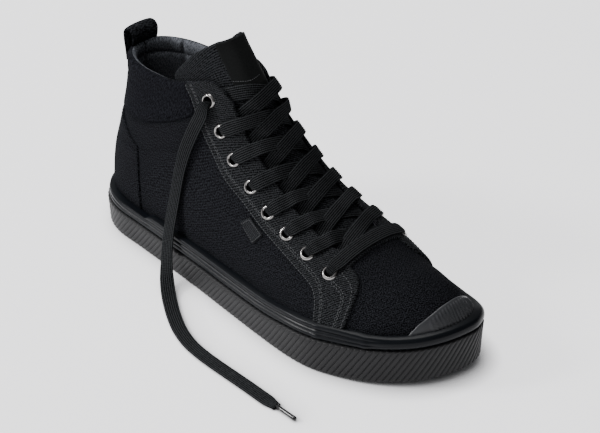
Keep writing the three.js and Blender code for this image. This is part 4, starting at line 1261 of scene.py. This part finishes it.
def front_bar():
    """The straight piece of lace between the two front eyelets."""
    outer, inner = eyelets["outer", FRONT_ROW], eyelets["inner", FRONT_ROW]
    part = np.linspace(0, 1, 60)
    y = mix(outer["y"] + 0.9, inner["y"] - 0.9, part)
    points, normals = on_section(mix(outer["place"], inner["place"], part), y)
    reach = np.minimum(np.abs(y - outer["y"]), np.abs(y - inner["y"]))
    height = over_ring(np.full(len(part), LACE_REST - 0.1), reach)
    rows = lace_rows(points + normals * height[:, None], normals, LACE_WIDTH, reach)
    ends = [dive(eyelet, (4.5, 4.5, 4.5), 2.4) for eyelet in (outer, inner)]
    return lace_ribbon(np.concatenate([ends[0][::-1], rows, ends[1]]), 90)


strands = [front_bar()]
for row in range(FRONT_ROW, 0, -1):
    strands.append(strand("inner", row, -0.6, hidden_end=row == 1))
    strands.append(strand("outer", row, 1.1))
add_piece("laces", joined(strands), cloths["lace"], ["lace_crossings"])


# Pull loop
def pull_loop():
    """A wide strap at the heel: up the outside of the collar, over and down the inside."""
    collar_top, crown = 129.0, 4.5
    outside, inside = 18.0, 28.4
    middle = (outside + inside) / 2 - 2.4
    top = collar_top + 11.0 - crown
    profile = [
        *[(outside - out, collar_top + rise) for out, rise in ((0, -12), (0.6, -5), (1.4, 1))],
        *[(middle + crown * math.cos(a), top + crown * math.sin(a)) for a in np.linspace(math.pi, 0, 9)],
        *[(inside - out, collar_top + rise) for out, rise in ((3.6, 2), (4.6, -1), (5.2, -4))],
    ]
    line = smooth_line(np.array([[x, 0.0, z] for x, z in profile]), 70)
    tangent = unit(np.gradient(line, axis=0))
    normal = np.stack([-tangent[:, 2], tangent[:, 1], tangent[:, 0]], axis=1)
    points, faces, coordinates = ribbon(line, normal, 22.0, 1.6, ribs=12, detail=3, ripple=0.03)
    points[:, 0] += points[:, 1] ** 2 / 90.0
    return points, faces, coordinates


add_piece("heel_loop", pull_loop(), cloths["webbing"], ["pull_loop"])


# Stitching
def offset_line(line, distance):
    tangent = unit(np.gradient(line, axis=0))
    return line + np.stack([tangent[:, 1], -tangent[:, 0]], axis=1) * distance


def cast_rows(name, starts, direction):
    """Rows of point and normal where rays meet a piece that faces them."""
    direction = Vector(direction)
    rows = []
    for start in starts:
        hit, normal, _, _ = surfaces[name].ray_cast(Vector(start), direction)
        if hit is not None and normal.dot(direction) < -0.05:
            rows.append([*hit, *normal])
    return np.array(rows)


def cast_side(name, line, sign):
    """Rows where a side view line meets a piece, seen from one side."""
    return cast_rows(name, [(x, sign * 200.0, z) for x, z in line], (0, -sign, 0))


STITCH_RINGS = [
    # place along the stitch, share of its width, and how deep it sinks
    (-1.0, 0.45, 0.15),
    (-0.6, 1.0, 0.0),
    (0.6, 1.0, 0.0),
    (1.0, 0.45, 0.15),
]
STITCH_SIDES = 6


def stitch(start, end, normal, width, slant):
    """One thread: a thin bar with six sides, whose ends sink in."""
    along = unit(end - start)
    across = np.cross(normal, along)
    half = np.linalg.norm(end - start) / 2
    angle = np.arange(STITCH_SIDES)[:, None] * 2 * np.pi / STITCH_SIDES
    circle = across * np.cos(angle) + normal * np.sin(angle)
    rings = []
    for step, share, sunk in STITCH_RINGS:
        middle = (start + end) / 2 + along * step * half + across * slant * step - normal * sunk
        rings.append(middle + circle * width * share / 2)
    points = np.concatenate(rings)
    faces = ring_quads(len(rings), STITCH_SIDES).tolist()
    faces.append(list(range(STITCH_SIDES))[::-1])
    faces.append(list(range(len(points) - STITCH_SIDES, len(points))))
    return points, faces, np.zeros((len(points), 2))


def stitches(places, pitch, share, width, lift, zigzag=0.0):
    """Short threads laid along a line of places on a surface."""
    length = lengths_along(places)
    gaps = np.diff(length)
    pieces = []
    for i in range(int(length[-1] / pitch)):
        index = np.searchsorted(length, i * pitch)
        if index < len(gaps) and gaps[max(index - 1, 0)] > 4 * pitch:
            continue
        ends = np.array([
            [np.interp((i + at) * pitch, length, column) for column in places.T] for at in (0, share)
        ])
        normal = unit(ends[0, 3:])
        size = np.linalg.norm(ends[1, :3] - ends[0, :3])
        if 1e-6 <= size <= 2 * pitch:
            start, end = ends[:, :3] + normal * lift
            pieces.append(stitch(start, end, normal, width, zigzag * (1 if i % 2 else -1)))
    return pieces


def thread_piece(name, rows, material):
    add_piece(name, joined([piece for row in rows for piece in row]), material)


# Stitches: pitch, the share of it that is thread, width and lift
FACING_STITCH = (2.3, 0.66, 0.42, 0.08)
QUARTER_STITCH = (2.8, 0.55, 0.4, 0.05)
TAB_STITCH = (1.5, 0.7, 0.35, 0.05)
LABEL_STITCH = (1.5, 0.8, 0.35, 0.05)
SOLE_STITCH = (4.6, 0.6, 0.7, 0.15)
# The seams of the facing: distance from its edge and slant
FACING_SEAMS = [(-1.3, 0.1), (-4.9, 0.3), (-5.9, -0.3)]

quarter_seams = [offset_line(cuff_line[18:], 2.2), offset_line(smooth_line(LOWER_SEAM, 60)[10:], 0.9)]
counter_seams = [offset_line(counter_line[30:], distance) for distance in (1.6, 4.0)]
for side, sign in (("outer", -1), ("inner", 1)):
    rows = []
    for distance, slant in FACING_SEAMS:
        for line in (offset_line(rear_line[12:], distance), offset_line(front_line[8:], -distance)):
            rows.append(stitches(cast_side(f"facing_{side}", line, sign), *FACING_STITCH, slant))
    thread_piece(f"facing_thread_{side}", rows, thread)
    rows = [stitches(cast_side("upper", line, sign), *QUARTER_STITCH) for line in quarter_seams]
    thread_piece(f"quarter_thread_{side}", rows, dark_thread)
    rows = [stitches(cast_side("counter", line, sign), *QUARTER_STITCH) for line in counter_seams]
    thread_piece(f"counter_thread_{side}", rows, dark_thread)

tab_middle = TAB.mean(axis=0)
tab_corners = tab_middle + 0.84 * (np.concatenate([TAB, TAB[:1]]) - tab_middle)
tab_line = np.concatenate([
    np.linspace(start, end, 14)[:-1] for start, end in zip(tab_corners, tab_corners[1:])
])
thread_piece("tab_thread", [stitches(cast_side("tab", tab_line, -1), *TAB_STITCH)], thread)

label_line = [(300.0, y, 143.5 + 0.12 * y) for y in np.linspace(-12.5, 3.5, 40)]
label_row = stitches(cast_rows("label", label_line, (-1, 0, 0)), *LABEL_STITCH)
thread_piece("label_thread", [label_row], thread)

groove_points, groove_inward, _ = closed_outline(900)
groove_places = np.column_stack([
    groove_points + groove_inward * 2.0, sidewall_top(groove_points[:, 0]) + 0.05,
    -groove_inward, np.zeros(len(groove_points)),
])
thread_piece("sole_thread", [stitches(groove_places, *SOLE_STITCH)], dark_thread)

# Floor and light
right = Vector((math.cos(azimuth), math.sin(azimuth), 0))
forward = Vector((back.x, back.y, 0)).normalized()
up = Vector((0, 0, 1))
FLOOR_SIZE, FLOOR_DROP = 3000.0, 0.3

# The floor glows like white paper, and less where the shoe is near on the light's side: that fade is a
# painted contact shadow
floor_material = plain_material("floor", (0.34, 0.339, 0.345), 0.95, specular=0.05)
floor_nodes, floor_links = floor_material.node_tree.nodes, floor_material.node_tree.links
floor_shader = floor_nodes["Principled BSDF"]
floor_shader.inputs["Emission Color"].default_value = (0.985, 0.98, 1.0, 1)
# Painted contact shadow: an occlusion test, leaning towards the light, dims the floor's glow near the
# shoe.
painted_contact_shadow = add_node(floor_nodes, "ShaderNodeAmbientOcclusion", Distance=0.016)
painted_contact_shadow.samples = 8
lean = (up - right) * 0.7
leaning = add_node(floor_nodes, "ShaderNodeCombineXYZ", X=lean.x, Y=lean.y, Z=lean.z)
floor_links.new(leaning.outputs[0], painted_contact_shadow.inputs["Normal"])
shadowed_glow = add_node(floor_nodes, "ShaderNodeMapRange", From_Min=0.45, To_Min=0.0, To_Max=1.62)
floor_links.new(painted_contact_shadow.outputs["AO"], shadowed_glow.inputs["Value"])
floor_links.new(shadowed_glow.outputs[0], floor_shader.inputs["Emission Strength"])
floor_corners = np.array([[-1, -1], [1, -1], [1, 1], [-1, 1]]) * FLOOR_SIZE
floor_points = np.column_stack([floor_corners, np.full(4, -FLOOR_DROP)])
floor = make_object("floor", (floor_points, [[0, 1, 2, 3]]), floor_material)

# A room that is brighter on the heel's side than beyond the toe
world = bpy.data.worlds.new("world")
bpy.context.scene.world = world
world.use_nodes = True
world_nodes, world_links = world.node_tree.nodes, world.node_tree.links
direction = world_nodes.new("ShaderNodeTexCoord")
facing = world_nodes.new("ShaderNodeVectorMath")
facing.operation = "DOT_PRODUCT"
facing.inputs[1].default_value = (up * 0.35 - right * 0.9 - forward * 0.2).normalized()
world_links.new(direction.outputs["Generated"], facing.inputs[0])
fade = add_node(world_nodes, "ShaderNodeMapRange", From_Min=-0.75, From_Max=0.9, To_Min=0.05, To_Max=0.75)
world_links.new(facing.outputs["Value"], fade.inputs["Value"])
world_links.new(fade.outputs[0], world_nodes["Background"].inputs[1])
world_nodes["Background"].inputs[0].default_value = (0.97, 0.98, 1.0, 1)


def add_light(name, kind, power, place, aim):
    data = bpy.data.lights.new(name, kind)
    data.energy = power
    made = bpy.data.objects.new(name, data)
    bpy.context.scene.collection.objects.link(made)
    made.location = place
    made.rotation_mode = "QUATERNION"
    made.rotation_quaternion = (place - aim).to_track_quat("Z", "Y")
    return data


key = add_light("key", "AREA", 50.0, target - right * 1.7 + forward * 0.1 + up * 1.15, target)
key.size = 0.4
top = add_light("top", "AREA", 28.0, target - right * 0.3 - forward * 0.5 + up * 1.9, target)
top.size = 1.0
spot_aim = Vector(to_frame([48.0, 18.0, 112.0]))
spot_place = spot_aim + (forward * 0.45 - right * 0.35 + up * 0.95).normalized() * 1.2
spot = add_light("collar", "SPOT", 17.0, spot_place, spot_aim)
spot.spot_size = math.radians(6.0)
spot.spot_blend = 0.8
spot.shadow_soft_size = 0.05

insole_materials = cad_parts["insole"].data.materials
insole_materials.clear()
insole_materials.append(plain_material("insole_cloth", (0.012, 0.012, 0.013), 0.9))
